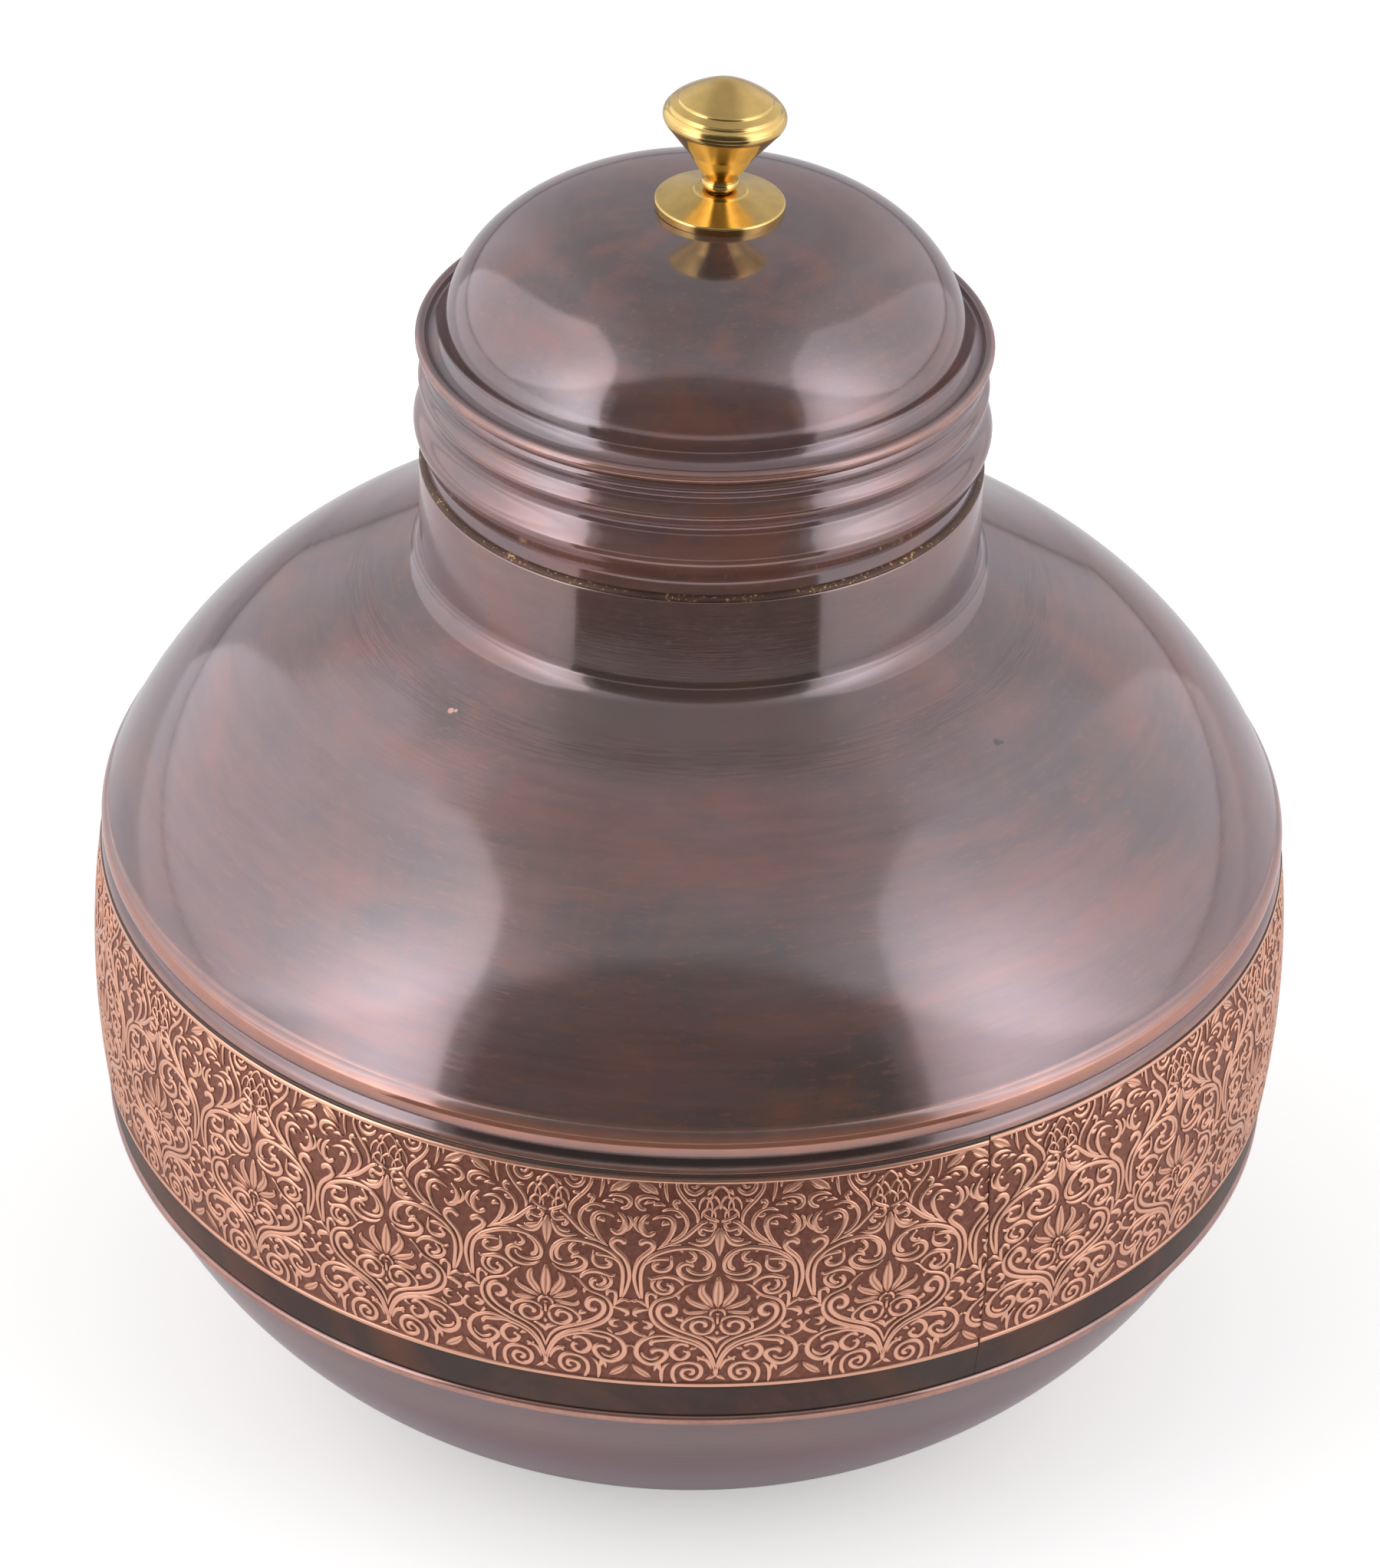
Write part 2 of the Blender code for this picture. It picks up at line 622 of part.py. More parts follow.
def knob_side():
    """The knob's outline below its steps: round rim, flare to the waist, neck and foot bead."""
    rim_centre = (KNOB_RADIUS - KNOB_RIM_ROUNDING, KNOB_RIM_HEIGHT)
    start, end = map(math.radians, KNOB_RIM_ROLL)
    rim = arc(rim_centre, KNOB_RIM_ROUNDING, start, end, KNOB_ROLL_POINTS)
    waist = [(KNOB_WAIST_RADIUS, KNOB_WAIST_HEIGHT), (KNOB_NECK_RADIUS, KNOB_FOOT_BEAD_HEIGHT)]
    bead_radius = KNOB_FOOT_BEAD_HEIGHT / 2
    bead_centre = (KNOB_FOOT_BEAD_RADIUS - bead_radius, bead_radius)
    bead = arc(bead_centre, bead_radius, math.pi / 4, -math.pi / 2, KNOB_ROLL_POINTS)
    return rim + waist + bead


def make_knob(shop, knob_frame, collar_top):
    """The turned brass knob with the blind tapped hole that takes the screw."""
    foot = collar_top + CLEARANCE
    bore_top = SCREW_ENGAGEMENT + CLEARANCE
    bore = [(SCREW_HOLE_RADIUS, 0.0), (SCREW_HOLE_RADIUS, bore_top), (0.0, bore_top)]
    profile = knob_crown() + knob_side() + bore
    lifted = [(radius, foot + height) for radius, height in profile]
    shop.turned("knob", lifted, "polished_brass", SMALL_TURN_STEPS, knob_frame)
    return foot + SCREW_ENGAGEMENT


def make_screw(shop, knob_frame, screw_tip):
    """The slotted pan-head screw and flat washer that hold the knob from inside the lid."""
    under_lid = -LID_SHEET - CLEARANCE - WASHER_RADIUS * math.tan(math.radians(KNOB_LEAN))
    washer = [
        (SCREW_HOLE_RADIUS, under_lid),
        (WASHER_RADIUS, under_lid),
        (WASHER_RADIUS, under_lid - WASHER_THICKNESS),
        (SCREW_HOLE_RADIUS, under_lid - WASHER_THICKNESS),
    ]
    shop.turned("knob_screw_washer", washer, "steel", SMALL_TURN_STEPS, knob_frame)
    head_top = under_lid - WASHER_THICKNESS - CLEARANCE
    head_bottom = head_top - SCREW_HEAD_HEIGHT
    outline = rounded(
        [
            (0.0, screw_tip, 0),
            (SCREW_RADIUS, screw_tip, SCREW_CHAMFER),
            (SCREW_RADIUS, head_top, 0),
            (SCREW_HEAD_RADIUS, head_top, SCREW_CHAMFER),
            (SCREW_HEAD_RADIUS, head_bottom, SCREW_HEAD_ROUNDING),
            (0.0, head_bottom, 0),
        ]
    )
    screw = shop.turned("knob_screw", outline, "steel", SMALL_TURN_STEPS, knob_frame)
    reach = SCREW_HEAD_RADIUS + SCREW_SLOT_DEPTH
    low = (-reach, -SCREW_SLOT_WIDTH / 2, head_bottom - SCREW_SLOT_DEPTH)
    high = (reach, SCREW_SLOT_WIDTH / 2, head_bottom + SCREW_SLOT_DEPTH)
    slot = box_mesh("screw_slot", low, high)
    shop.boolean(screw, shop.cutter("screw_slot", slot, knob_frame), "DIFFERENCE")


def main():
    clear_scene()
    shop = Workshop()
    make_lower_bowl(shop)
    make_etched_band(shop)
    make_shoulder(shop)
    make_mouth_ring(shop)
    knob_frame = make_knob_frame(shop)
    make_lid(shop, knob_frame)
    collar_top = make_rosette(shop, knob_frame)
    screw_tip = make_knob(shop, knob_frame, collar_top)
    make_screw(shop, knob_frame, screw_tip)


if __name__ == "__main__":
    main()
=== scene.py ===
import functools
import math

import bpy
import numpy as np
from mathutils import Matrix, Vector


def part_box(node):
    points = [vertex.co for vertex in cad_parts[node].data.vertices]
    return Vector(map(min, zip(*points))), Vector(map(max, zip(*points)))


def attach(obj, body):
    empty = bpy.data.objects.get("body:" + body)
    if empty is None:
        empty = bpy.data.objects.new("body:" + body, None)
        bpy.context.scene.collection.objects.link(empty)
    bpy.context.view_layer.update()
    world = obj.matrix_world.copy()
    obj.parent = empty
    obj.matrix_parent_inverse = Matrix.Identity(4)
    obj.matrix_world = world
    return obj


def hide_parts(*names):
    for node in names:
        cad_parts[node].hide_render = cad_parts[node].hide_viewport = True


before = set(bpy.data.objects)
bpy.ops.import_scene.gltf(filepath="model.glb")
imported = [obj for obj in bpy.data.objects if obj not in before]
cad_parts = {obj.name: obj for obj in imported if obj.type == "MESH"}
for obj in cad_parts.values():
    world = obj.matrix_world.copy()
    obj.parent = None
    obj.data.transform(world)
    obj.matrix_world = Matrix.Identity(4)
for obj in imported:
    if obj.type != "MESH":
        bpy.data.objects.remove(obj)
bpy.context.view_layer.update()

bl_info = {
    "name": "Copper Water Pot",
    "version": (1, 0, 0),
    "blender": (4, 5, 0),
    "location": "3D View > Sidebar > Copper Pot",
    "description": "Builds the outer surfaces, the etched band and the finishes of a lidded copper water pot",
    "category": "Add Mesh",
}

MM = 0.001

# Levels and radii in millimetres, as in the solids
SHEET, LID_SHEET = 0.9, 1.0
BOWL_TOP, BEAD_TOP, BEAD_RADIUS, BEAD_FILLET = 57.7, 60.1, 126.8, 0.9
WALL_RADIUS, WALL_BULGE = 125.1, 109.5
RING_RADIUS, RING_TOP = 78.3, 1.0
BAND_BOTTOM, BAND_TOP, BAND_EDGE, BAND_SWELL = 60.4, 121.4, 126.5, 2.3
SHOULDER_BEAD, SHOULDER_FOOT = 124.6, 129.9
SLOPE, SLOPE_BULGE, NECK_FILLET = 30.5, 92.2, 5.5
NECK_FOOT, NECK_TOP, NECK_RADIUS = 188.8, 210.6, 58.2
MOUTH_RADIUS, MOUTH_TOP = 57.0, 237.5
LIP_RADIUS, LIP_ROLL = 56.3, 1.6
RIM_RADIUS, RIM_ROLL = 57.6, 1.3
DOME_FOOT, DOME_RADIUS, DOME_RISE, DOME_POWER = 242.5, 53.0, 25.8, 1.7
BRIM_TOP, BRIM_FILLET = 238.8, 3.7
SKIRT_RADIUS, SKIRT_DEPTH, SKIRT_RISE = 54.0, 14.5, 3.0

# The gap between two pieces, and how far a lap reaches inside its neighbour
CLEARANCE, LAP_DEPTH = 0.3, 8.5

# Corners as (radius, height, fillet): the base inside the standing ring, the rosette over its seat, the knob's
# steps and its waist over the rosette, and the knob's bore
BASE = ((77.3, 0, 0.5), (72.3, 0, 0.4), (68.3, 2.0, 0.6), (0, 2.0, 0))
COLLAR = 3.7
ROSETTE = (
    (2.3, COLLAR, 0), (5.2, COLLAR, 0.15), (5.6, COLLAR - 0.3, 0.3), (13.2, 1.3, 0.5),
    (13.2, -0.6, 0.2), (11.4, -0.3, 0.2), (6.3, 1.6, 0.3), (2.3, 1.6, 0),
)
CROWN_RADIUS, CROWN_FOOT, CROWN_RISE, CROWN_POWER = 9.6, 19.4, 4.25, 1.52
KNOB_STEPS = (
    (CROWN_RADIUS, CROWN_FOOT, 0), (9.62, 19.18, 0.08), (11.0, 18.3, 0.10), (11.02, 18.1, 0.08), (11.3, 17.8, 0),
)
# The round edge under the steps and the bead at the knob's foot: centre and radius
KNOB_ROLL, KNOB_BEAD = ((10.2, 15.8), 2.23), ((2.6, 1.2), 1.2)
KNOB_WAIST = ((7.0, 8.2, 6.0), (3.4, 2.4, 0.6), (3.45, 2.05, 0))
KNOB_BORE = ((2.3, 0.0), (2.3, 8.3), (0.0, 8.3))
# How far right of the lid's middle each stands, in millimetres, how many degrees it leans to the right, and the
# radius at which the rosette's edge meets the dome
ROSETTE_PLACE, KNOB_PLACE, ROSETTE_SEAT = (2.2, 1.5), (1.9, 2.4), 11.0

# The shoulder's edge as (radius, height): the bead's lower end, the ends of the strip under it and its turn inward.
# Then the crease's height over the slope's foot, the radii of the bead's and the strip's curves, and the wall behind
BEAD_END, STRIP_TURN = (125.55, SHOULDER_BEAD + 0.35), (125.3, BAND_TOP + 0.1)
STRIP_ENDS = ((125.15, SHOULDER_BEAD + 0.15), (126.35, BAND_TOP + 0.1))
CREASE_RISE, BEAD_BULGE, STRIP_BULGE, WALL_BEHIND = 0.9, 4.9, 12.0, BAND_EDGE - 2.1

# The two ribs of the mouth ring: level over the neck, half height and rise, then reach and amount of their wear
RIBS = ((9.6, 6.1, 2.3, 3.0, 0.16), (19.3, 3.3, 1.3, 1.8, 0.18))

# The etched strip: its level, the length and number of its repeats, and where its two borders start and end
PATTERN_FLOOR, REPEAT, REPEATS = 68.45, 34.3, 22
BORDER_LOW, BORDER_HIGH = (0.3, 1.2), (51.0, 52.0)
# Where the first repeat's middle lies, how far one repeat turns and how far they drift, in degrees
FIRST_REPEAT, REPEAT_TURN, REPEAT_DRIFT = 36.46, 15.561, 1.5
# The butt seam: its azimuth, its groove's width and how far off the pattern is cut, in degrees, then the groove's
# depth and how much higher the strip starts than it ends, in millimetres
SEAM_AZIMUTH, SEAM_SLOT, SEAM_CUT, SEAM_DEPTH, SEAM_DRIFT = 28.6, 0.12, 0.1, 0.35, 0.75

# Tones of single places, beside the colours in the finish settings
# Painted shade that darkens the front of the neck's foot
PAINTED_NECK_SHADE = (0.100, 0.078, 0.066, 1)
LOW_BROWN = (0.220, 0.120, 0.098, 1)
# Painted shadow under the shoulder's bead
PAINTED_BEAD_SHADOW = (0.030, 0.024, 0.020, 1)
BEAD_COPPER = (0.560, 0.215, 0.120, 1)
TURNING_BROWN = (0.085, 0.042, 0.028, 1)
GROUND_LIGHT = (0.33, 0.145, 0.105, 1)
RELIEF_FLANK = (0.47, 0.215, 0.142, 1)
BAND_DEEP = (0.09, 0.055, 0.050, 1)
BRAZE_DARK, BRAZE_BROWN = (0.060, 0.036, 0.030, 1), (0.130, 0.066, 0.046, 1)
CARD_BLACK = (0.05, 0.045, 0.04, 1)
WHITE = (1, 1, 1, 1)

# Levels in metres of the painted shadow line under the bead, the bead and the turning marks on the neck's foot
SHADOW_LINE_LEVEL, BEAD_LEVEL, MARK_LEVEL = 0.1238, 0.1278, 0.1812

# Where the painted shade on the front of the neck's foot starts and is full, in metres: upwards, downwards, ahead
# and sideways
PAINTED_NECK_SHADE_SPANS = ((0.1765, 0.1812), (0.2125, 0.2105), (-0.010, -0.040), (0.042, 0.024))

# Small marks on the patina: place in metres, size in metres and colour
PALE_NICK, DARK_NICK = (0.80, 0.42, 0.30), (0.03, 0.02, 0.02)
SMALL_MARKS = (
    ((-0.0490, -0.0530, 0.1806), 0.0008, PALE_NICK), ((-0.0480, -0.0534, 0.1809), 0.0005, PALE_NICK),
    ((0.0610, -0.0520, 0.1760), 0.0010, DARK_NICK), ((0.0620, -0.0515, 0.1757), 0.0006, DARK_NICK),
)

# A side lamp in shares of its width from the front and of its height: its outline, the level of the dim strip
# before it, how fast its bright spot fades, and for each side its level, the spot's place and how much it adds
SIDE_OUTLINE = (
    (0.0, 0.0), (0.046, 0.0), (0.074, 0.40), (0.09, 0.64), (0.14, 0.81), (0.22, 0.93),
    (0.36, 0.97), (0.50, 0.97), (0.61, 0.70), (0.80, 0.43), (0.94, 0.2), (1.0, 0.0),
)
STRIP_LEVEL = 0.55
BRIGHT_FALL = (32.0, 4.6)
SIDE_LAMPS = {"left_lamp": (-1, 1.0, (0.18, 0.16), 3.7), "right_lamp": (1, 0.55, (0.24, 0.22), 5.4)}
# In metres: how far out the lamps stand, how far they reach to the front and to the back, and how high
LAMP_OUT, LAMP_FRONT, LAMP_BACK, LAMP_TOP = 0.9, 1.13, 1.27, 1.85

# The room's light. Each row is a span of its measure, then the light at both ends of the span
HAZE, ABOVE, OVERHEAD = (0.58, 0.88, 0.07, 0.20), (0.92, 1.02), (1.20, 1.50, 1.3, 1.0)
BESIDE, BEHIND = (0.05, 0.22, 0.28, 0.58), (0.5, 0.9, 0.0, 0.12)
ARCH_DROP = 0.52

# The dark card's radii in metres and its reach to each side in degrees, and the radii in millimetres of the
# floor's rings
CARD_RADII, CARD_REACH, FLOOR_RADII = (0.355, 1.8), 47, (200, 8000)

CAMERA_PLACE = (-0.0006, -0.9592, 0.7645)
CAMERA_FALL, CAMERA_ROLL, LENS, SENSOR = 33.51, 1.56, 123.3, 36.0


def arc(centre, radius, first, last, step=12.0):
    """A circle's points about a centre, from one angle to another in degrees, none over a step apart."""
    count = max(3, int(abs(last - first) / step) + 2)
    angle = np.radians(np.linspace(first, last, count))
    return np.column_stack([centre[0] + radius * np.cos(angle), centre[1] + radius * np.sin(angle)])


def angle_of(way):
    """A direction's angle in degrees."""
    return math.degrees(math.atan2(way[1], way[0]))


def arc_between(start, end, radius):
    """The arc of a given radius from one point down to another that bulges away from the axis."""
    start, end = np.array(start, float), np.array(end, float)
    run = end - start
    half = np.linalg.norm(run) / 2
    back = math.sqrt(radius**2 - half**2) / (2 * half)
    centre = (start + end) / 2 + np.array([run[1], -run[0]]) * back
    return arc(centre, radius, angle_of(start - centre), angle_of(end - centre), 1.2)


def rounded(corners, step=18.0):
    """A path through (radius, height, fillet) corners: each filleted corner becomes the arc that touches both
    its sides."""
    path = [np.array([corners[0][:2]], float)]
    for before, corner, after in zip(corners, corners[1:], corners[2:]):
        here = np.array(corner[:2], float)
        if corner[2] == 0:
            path.append(here[None])
            continue
        ways = [np.array(other[:2], float) - here for other in (before, after)]
        ways = [way / np.linalg.norm(way) for way in ways]
        half = math.acos(np.clip(ways[0] @ ways[1], -1, 1)) / 2
        bisector = (ways[0] + ways[1]) / np.linalg.norm(ways[0] + ways[1])
        centre = here + bisector * corner[2] / math.sin(half)
        ends = [here + way * corner[2] / math.tan(half) - centre for way in ways]
        first = angle_of(ends[0])
        turn = angle_of((ends[0] @ ends[1], ends[0][0] * ends[1][1] - ends[0][1] * ends[1][0]))
        path.append(arc(centre, corner[2], first, first + turn, step))
    path.append(np.array([corners[-1][:2]], float))
    return np.vstack(path)


def joined(*paths):
    """Paths end to end as one, without the points that two of them share."""
    path = np.vstack([np.asarray(piece, float) for piece in paths])
    apart = np.linalg.norm(np.diff(path, axis=0), axis=1) > 1e-4
    return path[np.concatenate([[True], apart])]


def supported(path, near=0.35, far=2.0):
    """The path with two more points close to the ends of each long side, so that smooth shading stays on the
    bends."""
    start, end = path[:-1], path[1:]
    run = end - start
    length = np.linalg.norm(run, axis=1, keepdims=True)
    share = np.where(length > far, near / length, 0.5)
    rows = np.stack([start, start + run * share, end - run * share], axis=1)
    keep = np.stack([np.ones(len(run), bool)] + [(length > far)[:, 0]] * 2, axis=1)
    return np.vstack([rows[keep], path[-1:]])


def offset_inward(path, distance):
    """The path moved square to itself, to the side that lies right of its direction of travel."""
    run = np.diff(path, axis=0)
    run /= np.linalg.norm(run, axis=1, keepdims=True)
    mean = np.vstack([run[:1], run[:-1] + run[1:], run[-1:]])
    size = np.linalg.norm(mean, axis=1, keepdims=True)
    size[1:-1] = size[1:-1] ** 2 / 2
    return path + np.column_stack([mean[:, 1], -mean[:, 0]]) / size * distance


def band_radius(height):
    """The band's outer radius at a height, a shallow barrel: its edge radius plus the swell times one minus the
    square of the distance from mid height."""
    from_middle = (height - BAND_BOTTOM) / (BAND_TOP - BAND_BOTTOM) * 2 - 1
    return BAND_EDGE + BAND_SWELL * (1 - np.clip(from_middle, -1, 1) ** 2)


def lap_path(*heights):
    """A lap inside the band: the band's radius less its sheet and a gap, at each height."""
    return [(band_radius(height) - SHEET - CLEARANCE, height) for height in heights]


def rib(height, centre, half, rise):
    """A rolled rib: the rise times the squared cosine of the distance from its centre, and nothing past its
    half height."""
    along = np.clip((height - centre) / half, -1, 1)
    return rise * np.cos(along * np.pi / 2) ** 2


def dome_height(radius):
    """The dome's height over its foot: its rise times a power of one minus the cubed share of the radius."""
    share = np.clip(radius / DOME_RADIUS, 0, 1)
    return DOME_RISE * (1 - share**3) ** (1 / DOME_POWER)


def dome_radius(height):
    """The dome's radius at a height over its foot, from the same formula."""
    return DOME_RADIUS * (1 - (height / DOME_RISE) ** DOME_POWER) ** (1 / 3)


def slope_path():
    """The shoulder's outer line: neck, fillet, a straight slope, then the arc that meets it smoothly and ends
    at the bead."""
    slope = math.radians(SLOPE)
    edge = np.array([BAND_EDGE - 1.5, SHOULDER_FOOT])
    along, normal = np.array([math.cos(slope), -math.sin(slope)]), np.array([math.sin(slope), math.cos(slope)])
    base = np.array([NECK_RADIUS, NECK_FOOT]) - normal * SLOPE_BULGE
    run, off = (edge - base) @ along, (edge - base) @ normal
    centre = base + along * (run - math.sqrt(SLOPE_BULGE**2 - off**2))
    curve = arc(centre, SLOPE_BULGE, 90 - SLOPE, angle_of(edge - centre), 1.2)
    neck = rounded([(NECK_RADIUS, NECK_TOP, 0), (NECK_RADIUS, NECK_FOOT, NECK_FILLET), (*curve[0], 0)], 6)
    return joined(neck, curve)


def mesh_object(name, points, faces, attributes=None):
    """Puts an array of points in metres and arrays of faces, each of one corner count, into a smooth-shaded
    object at the origin."""
    mesh = bpy.data.meshes.new(name)
    loops = np.concatenate([face.ravel() for face in faces]).astype(np.int32)
    corners = np.concatenate([np.full(len(face), face.shape[1]) for face in faces])
    starts = np.concatenate([[0], np.cumsum(corners)[:-1]]).astype(np.int32)
    mesh.vertices.add(len(points))
    mesh.vertices.foreach_set("co", np.ascontiguousarray(points, np.float32).ravel())
    mesh.loops.add(len(loops))
    mesh.loops.foreach_set("vertex_index", loops)
    mesh.polygons.add(len(corners))
    mesh.polygons.foreach_set("loop_start", starts)
    mesh.polygons.foreach_set("use_smooth", np.ones(len(corners), bool))
    for key, values in (attributes or {}).items():
        values = np.ascontiguousarray(values, np.float32)
        vector = values.ndim == 2
        layer = mesh.attributes.new(key, "FLOAT_VECTOR" if vector else "FLOAT", "POINT")
        layer.data.foreach_set("vector" if vector else "value", values.ravel())
    mesh.update(calc_edges=True)
    obj = bpy.data.objects.new(name, mesh)
    bpy.context.scene.collection.objects.link(obj)
    return obj


def grid_faces(rows, columns, close_rows, close_columns):
    """The four-cornered faces of a grid of points numbered row by row, wrapped round where a direction is
    closed."""
    row = np.arange(rows if close_rows else rows - 1)[:, None]
    column = np.arange(columns if close_columns else columns - 1)[None]
    below, beside = (row + 1) % rows, (column + 1) % columns
    corners = [row * columns + column, below * columns + column]
    corners += [below * columns + beside, row * columns + beside]
    return np.stack(np.broadcast_arrays(*corners), axis=-1).reshape(-1, 4)


def turned(name, profile, steps, placing=None, wear=None, inside=None, loop=True):
    """A profile (radius, height) turned round the upright axis: point (i, j) is profile point i at the j-th of
    equal angles.

    Points on the axis become one pole. The attributes are sweep (cosine and sine of the angle, and millimetres
    along the profile), wear and inside."""
    profile = np.asarray(profile, float)
    angle = np.linspace(0, 2 * np.pi, steps, endpoint=False)
    radius, height = profile[:, :1], profile[:, 1:]
    across, up = np.cos(angle)[None], np.sin(angle)[None]
    points = np.stack(np.broadcast_arrays(radius * across, radius * up, height), axis=-1)
    along = np.concatenate([[0], np.cumsum(np.linalg.norm(np.diff(profile, axis=0), axis=1))])
    sweep = np.stack(np.broadcast_arrays(across, up, along[:, None]), axis=-1)
    faces = grid_faces(len(profile), steps, loop, True)
    poles = np.flatnonzero(profile[:, 0] < 1e-6)
    number = np.arange(len(profile) * steps).reshape(len(profile), steps)
    number[poles] = number[poles, :1]
    faces = number.ravel()[faces]
    top, low = faces[:, 0] == faces[:, 3], faces[:, 1] == faces[:, 2]
    whole = faces[~top & ~low]
    thirds = np.vstack([faces[top & ~low][:, :3], faces[low & ~top][:, [0, 1, 3]]])
    used, order = np.unique(np.concatenate([whole.ravel(), thirds.ravel()]), return_inverse=True)
    whole, thirds = order[: whole.size].reshape(-1, 4), order[whole.size :].reshape(-1, 3)
    spread = {"sweep": sweep.reshape(-1, 3)[used]}
    for key, values in (("wear", wear), ("inside", inside)):
        values = np.zeros(len(profile)) if values is None else np.asarray(values, float)
        spread[key] = np.repeat(values, steps)[used]
    points = points.reshape(-1, 3)[used] * MM
    if placing is not None:
        turn = np.array(placing)
        points = points @ turn[:3, :3].T + turn[:3, 3]
    return mesh_object(name, points, [whole, thirds], spread)


def worn(profile, spots):
    """How rubbed each profile point is: the greatest, over the spots (radius, height, reach, amount), of the
    amount times a bell of the distance."""
    amount = np.zeros(len(profile))
    for radius, height, reach, most in spots:
        distance = np.hypot(profile[:, 0] - radius, profile[:, 1] - height)
        amount = np.maximum(amount, most * np.exp(-((distance / reach) ** 2)))
    return amount


def shell(name, outside, inside_path, spots=()):
    """A turned wall with an outer and an inner line, joined at both ends."""
    outer, inner = supported(outside), supported(inside_path)
    profile = joined(outer, inner[::-1])
    indoors = np.arange(len(profile)) >= len(outer)
    return turned(name, profile, steps_round(), wear=worn(profile, spots) * ~indoors, inside=indoors)


def steps_round():
    """How many steps the large turned surfaces have."""
    return bpy.context.scene.pot_pattern.turn_steps


# The etched pattern, right half of one repeat, in millimetres from its mirror line and its lower border.
# Each stroke is its start, middle and end width, then its points; a leaf has a furrow down its middle

HEART = [
    (0.5, 1, 1.4, (0, 8.3), (0.5, 10.2), (1.3, 11.9), (2.7, 13.3), (5, 14.5), (7.6, 15.7), (9.9, 17), (11.4, 18.7),
     (11.8, 20.4), (11.2, 21.8), (9.9, 22.4), (8.8, 21.8), (8.4, 20.8), (8.7, 19.9), (9.6, 19.5), (10.4, 20)),
    (0.5, 1, 0.4, (0, 5.6), (0.6, 7.8), (1.4, 9.8), (2.7, 11.6), (4.6, 13), (6.9, 13.9), (9.3, 15), (11.4, 16.3),
     (12.8, 18), (13.3, 20), (12.9, 21.8), (11.8, 23.1), (10.2, 23.8), (8.7, 24.4), (7.5, 25.5), (6.5, 26.8),
     (5.3, 27.5)),
    (0.9, 0.7, 0.4, (8.4, 24.6), (7.8, 24.2), (7.8, 23.4)),
    (0.5, 0.9, 1, (0.3, 4.9), (0.8, 6.9), (1.6, 9), (2.8, 10.8), (4.5, 12.1), (6.5, 12.9), (8.6, 13.3), (10.5, 12.9),
     (12.3, 12.6), (13, 12), (13, 11.2)),
]
SIDE_SCROLL = [
    (0.6, 1.2, 1.1, (7.4, 13.5), (9.5, 14), (11.6, 14), (13.4, 13.4), (15, 12.2), (15.9, 10.5), (15.9, 8.7),
     (15, 7.2), (13.5, 6.3), (11.9, 6.5), (10.6, 7.5), (9.9, 8.9), (10.4, 10), (11.7, 10.3), (12.7, 9.7), (12.7, 9)),
    (0.5, 0.8, 0.6, (15, 9.4), (14.5, 8.3), (13.3, 7.6), (12.1, 7.8), (11.3, 8.6)),
    (0.9, 0.7, 0.5, (12.5, 15.3), (12.9, 14.6), (13.5, 13.9)),
    (0.9, 1.2, 0.8, (5.5, 11.3), (6.8, 12.1), (8.2, 11.5), (9, 10.1), (8.6, 8.7), (7.5, 7.9), (6.2, 8.2), (5.5, 9.2),
     (5.9, 10), (6.7, 10)),
    (0.9, 0.8, 0.4, (3.9, 11.1), (4.6, 10.9), (5.3, 10.5)),
]
FOOT = [
    (0.6, 1.1, 1.2, (0, 5.8), (0, 4.4), (0, 3.2)),
    (0.8, 0.9, 0.3, (0, 3.6), (0.9, 2.9), (2, 2.3)),
    (0.5, 0.9, 1.1, (0.9, 5.2), (1.3, 6.6), (2, 7.7), (3, 8.2), (3.9, 8.8)),
    (0.8, 0.7, 0.6, (2.6, 8.2), (2.5, 8.9)),
    (0.8, 0.7, 0.5, (3.2, 8.3), (3.7, 7.6)),
    (0.9, 1, 0.9, (7.9, 1.2), (8.6, 3), (8.5, 5), (7.5, 6.4), (5.9, 7), (4.2, 6.8), (3.1, 5.7), (2.9, 4.2),
     (3.5, 2.9), (4.7, 2.3), (6.1, 2.7), (6.8, 3.8), (6.4, 4.9), (5.3, 5.3), (4.5, 4.8), (4.6, 4), (5.4, 3.7)),
    (0.7, 1, 0.3, (10.7, 1.3), (10.9, 3), (10.8, 4.6), (10.2, 5.9), (9.3, 6.8)),
    (0.5, 1, 0.5, (10.8, 4.2), (11.3, 5.4), (11.2, 6.8)),
    (0.9, 0.9, 0.5, (11.3, 6.6), (12, 5.5), (12.3, 4.3)),
]
INNER_SCROLL = [
    (0.6, 0.9, 0.6, (0.7, 17.9), (1.3, 18.8), (2.6, 19.4), (4.2, 19.3), (5.7, 18.6), (6.8, 17.4), (7, 16.2),
     (6.3, 15.6)),
    (0.7, 1, 1, (0.8, 17.9), (0.8, 16.4), (1.6, 15.2), (2.9, 14.8), (4.3, 15.2), (5.1, 16.3), (4.8, 17.5),
     (3.8, 18.1), (2.8, 17.9), (2.3, 17.1), (2.7, 16.5)),
    (0.6, 1.2, 1.1, (6.6, 17.8), (7.4, 18.5), (8.3, 18.6)),
    (0.6, 0.6, 0.6, (1.5, 19.4), (1.3, 20.4), (0.7, 21), (0, 21.1)),
    (1.4, 1.2, 1, (0, 20.2), (0, 19.6)),
    (0.8, 0.6, 1, (0, 19.4), (0, 18.2), (0, 17.3)),
    (0.5, 0.8, 1, (0, 15.7), (0, 14.6)),
    (0.3, 1.3, 0.5, (2.4, 14.2), (1.2, 13.9), (0.3, 13.2), (0, 12.2)),
]
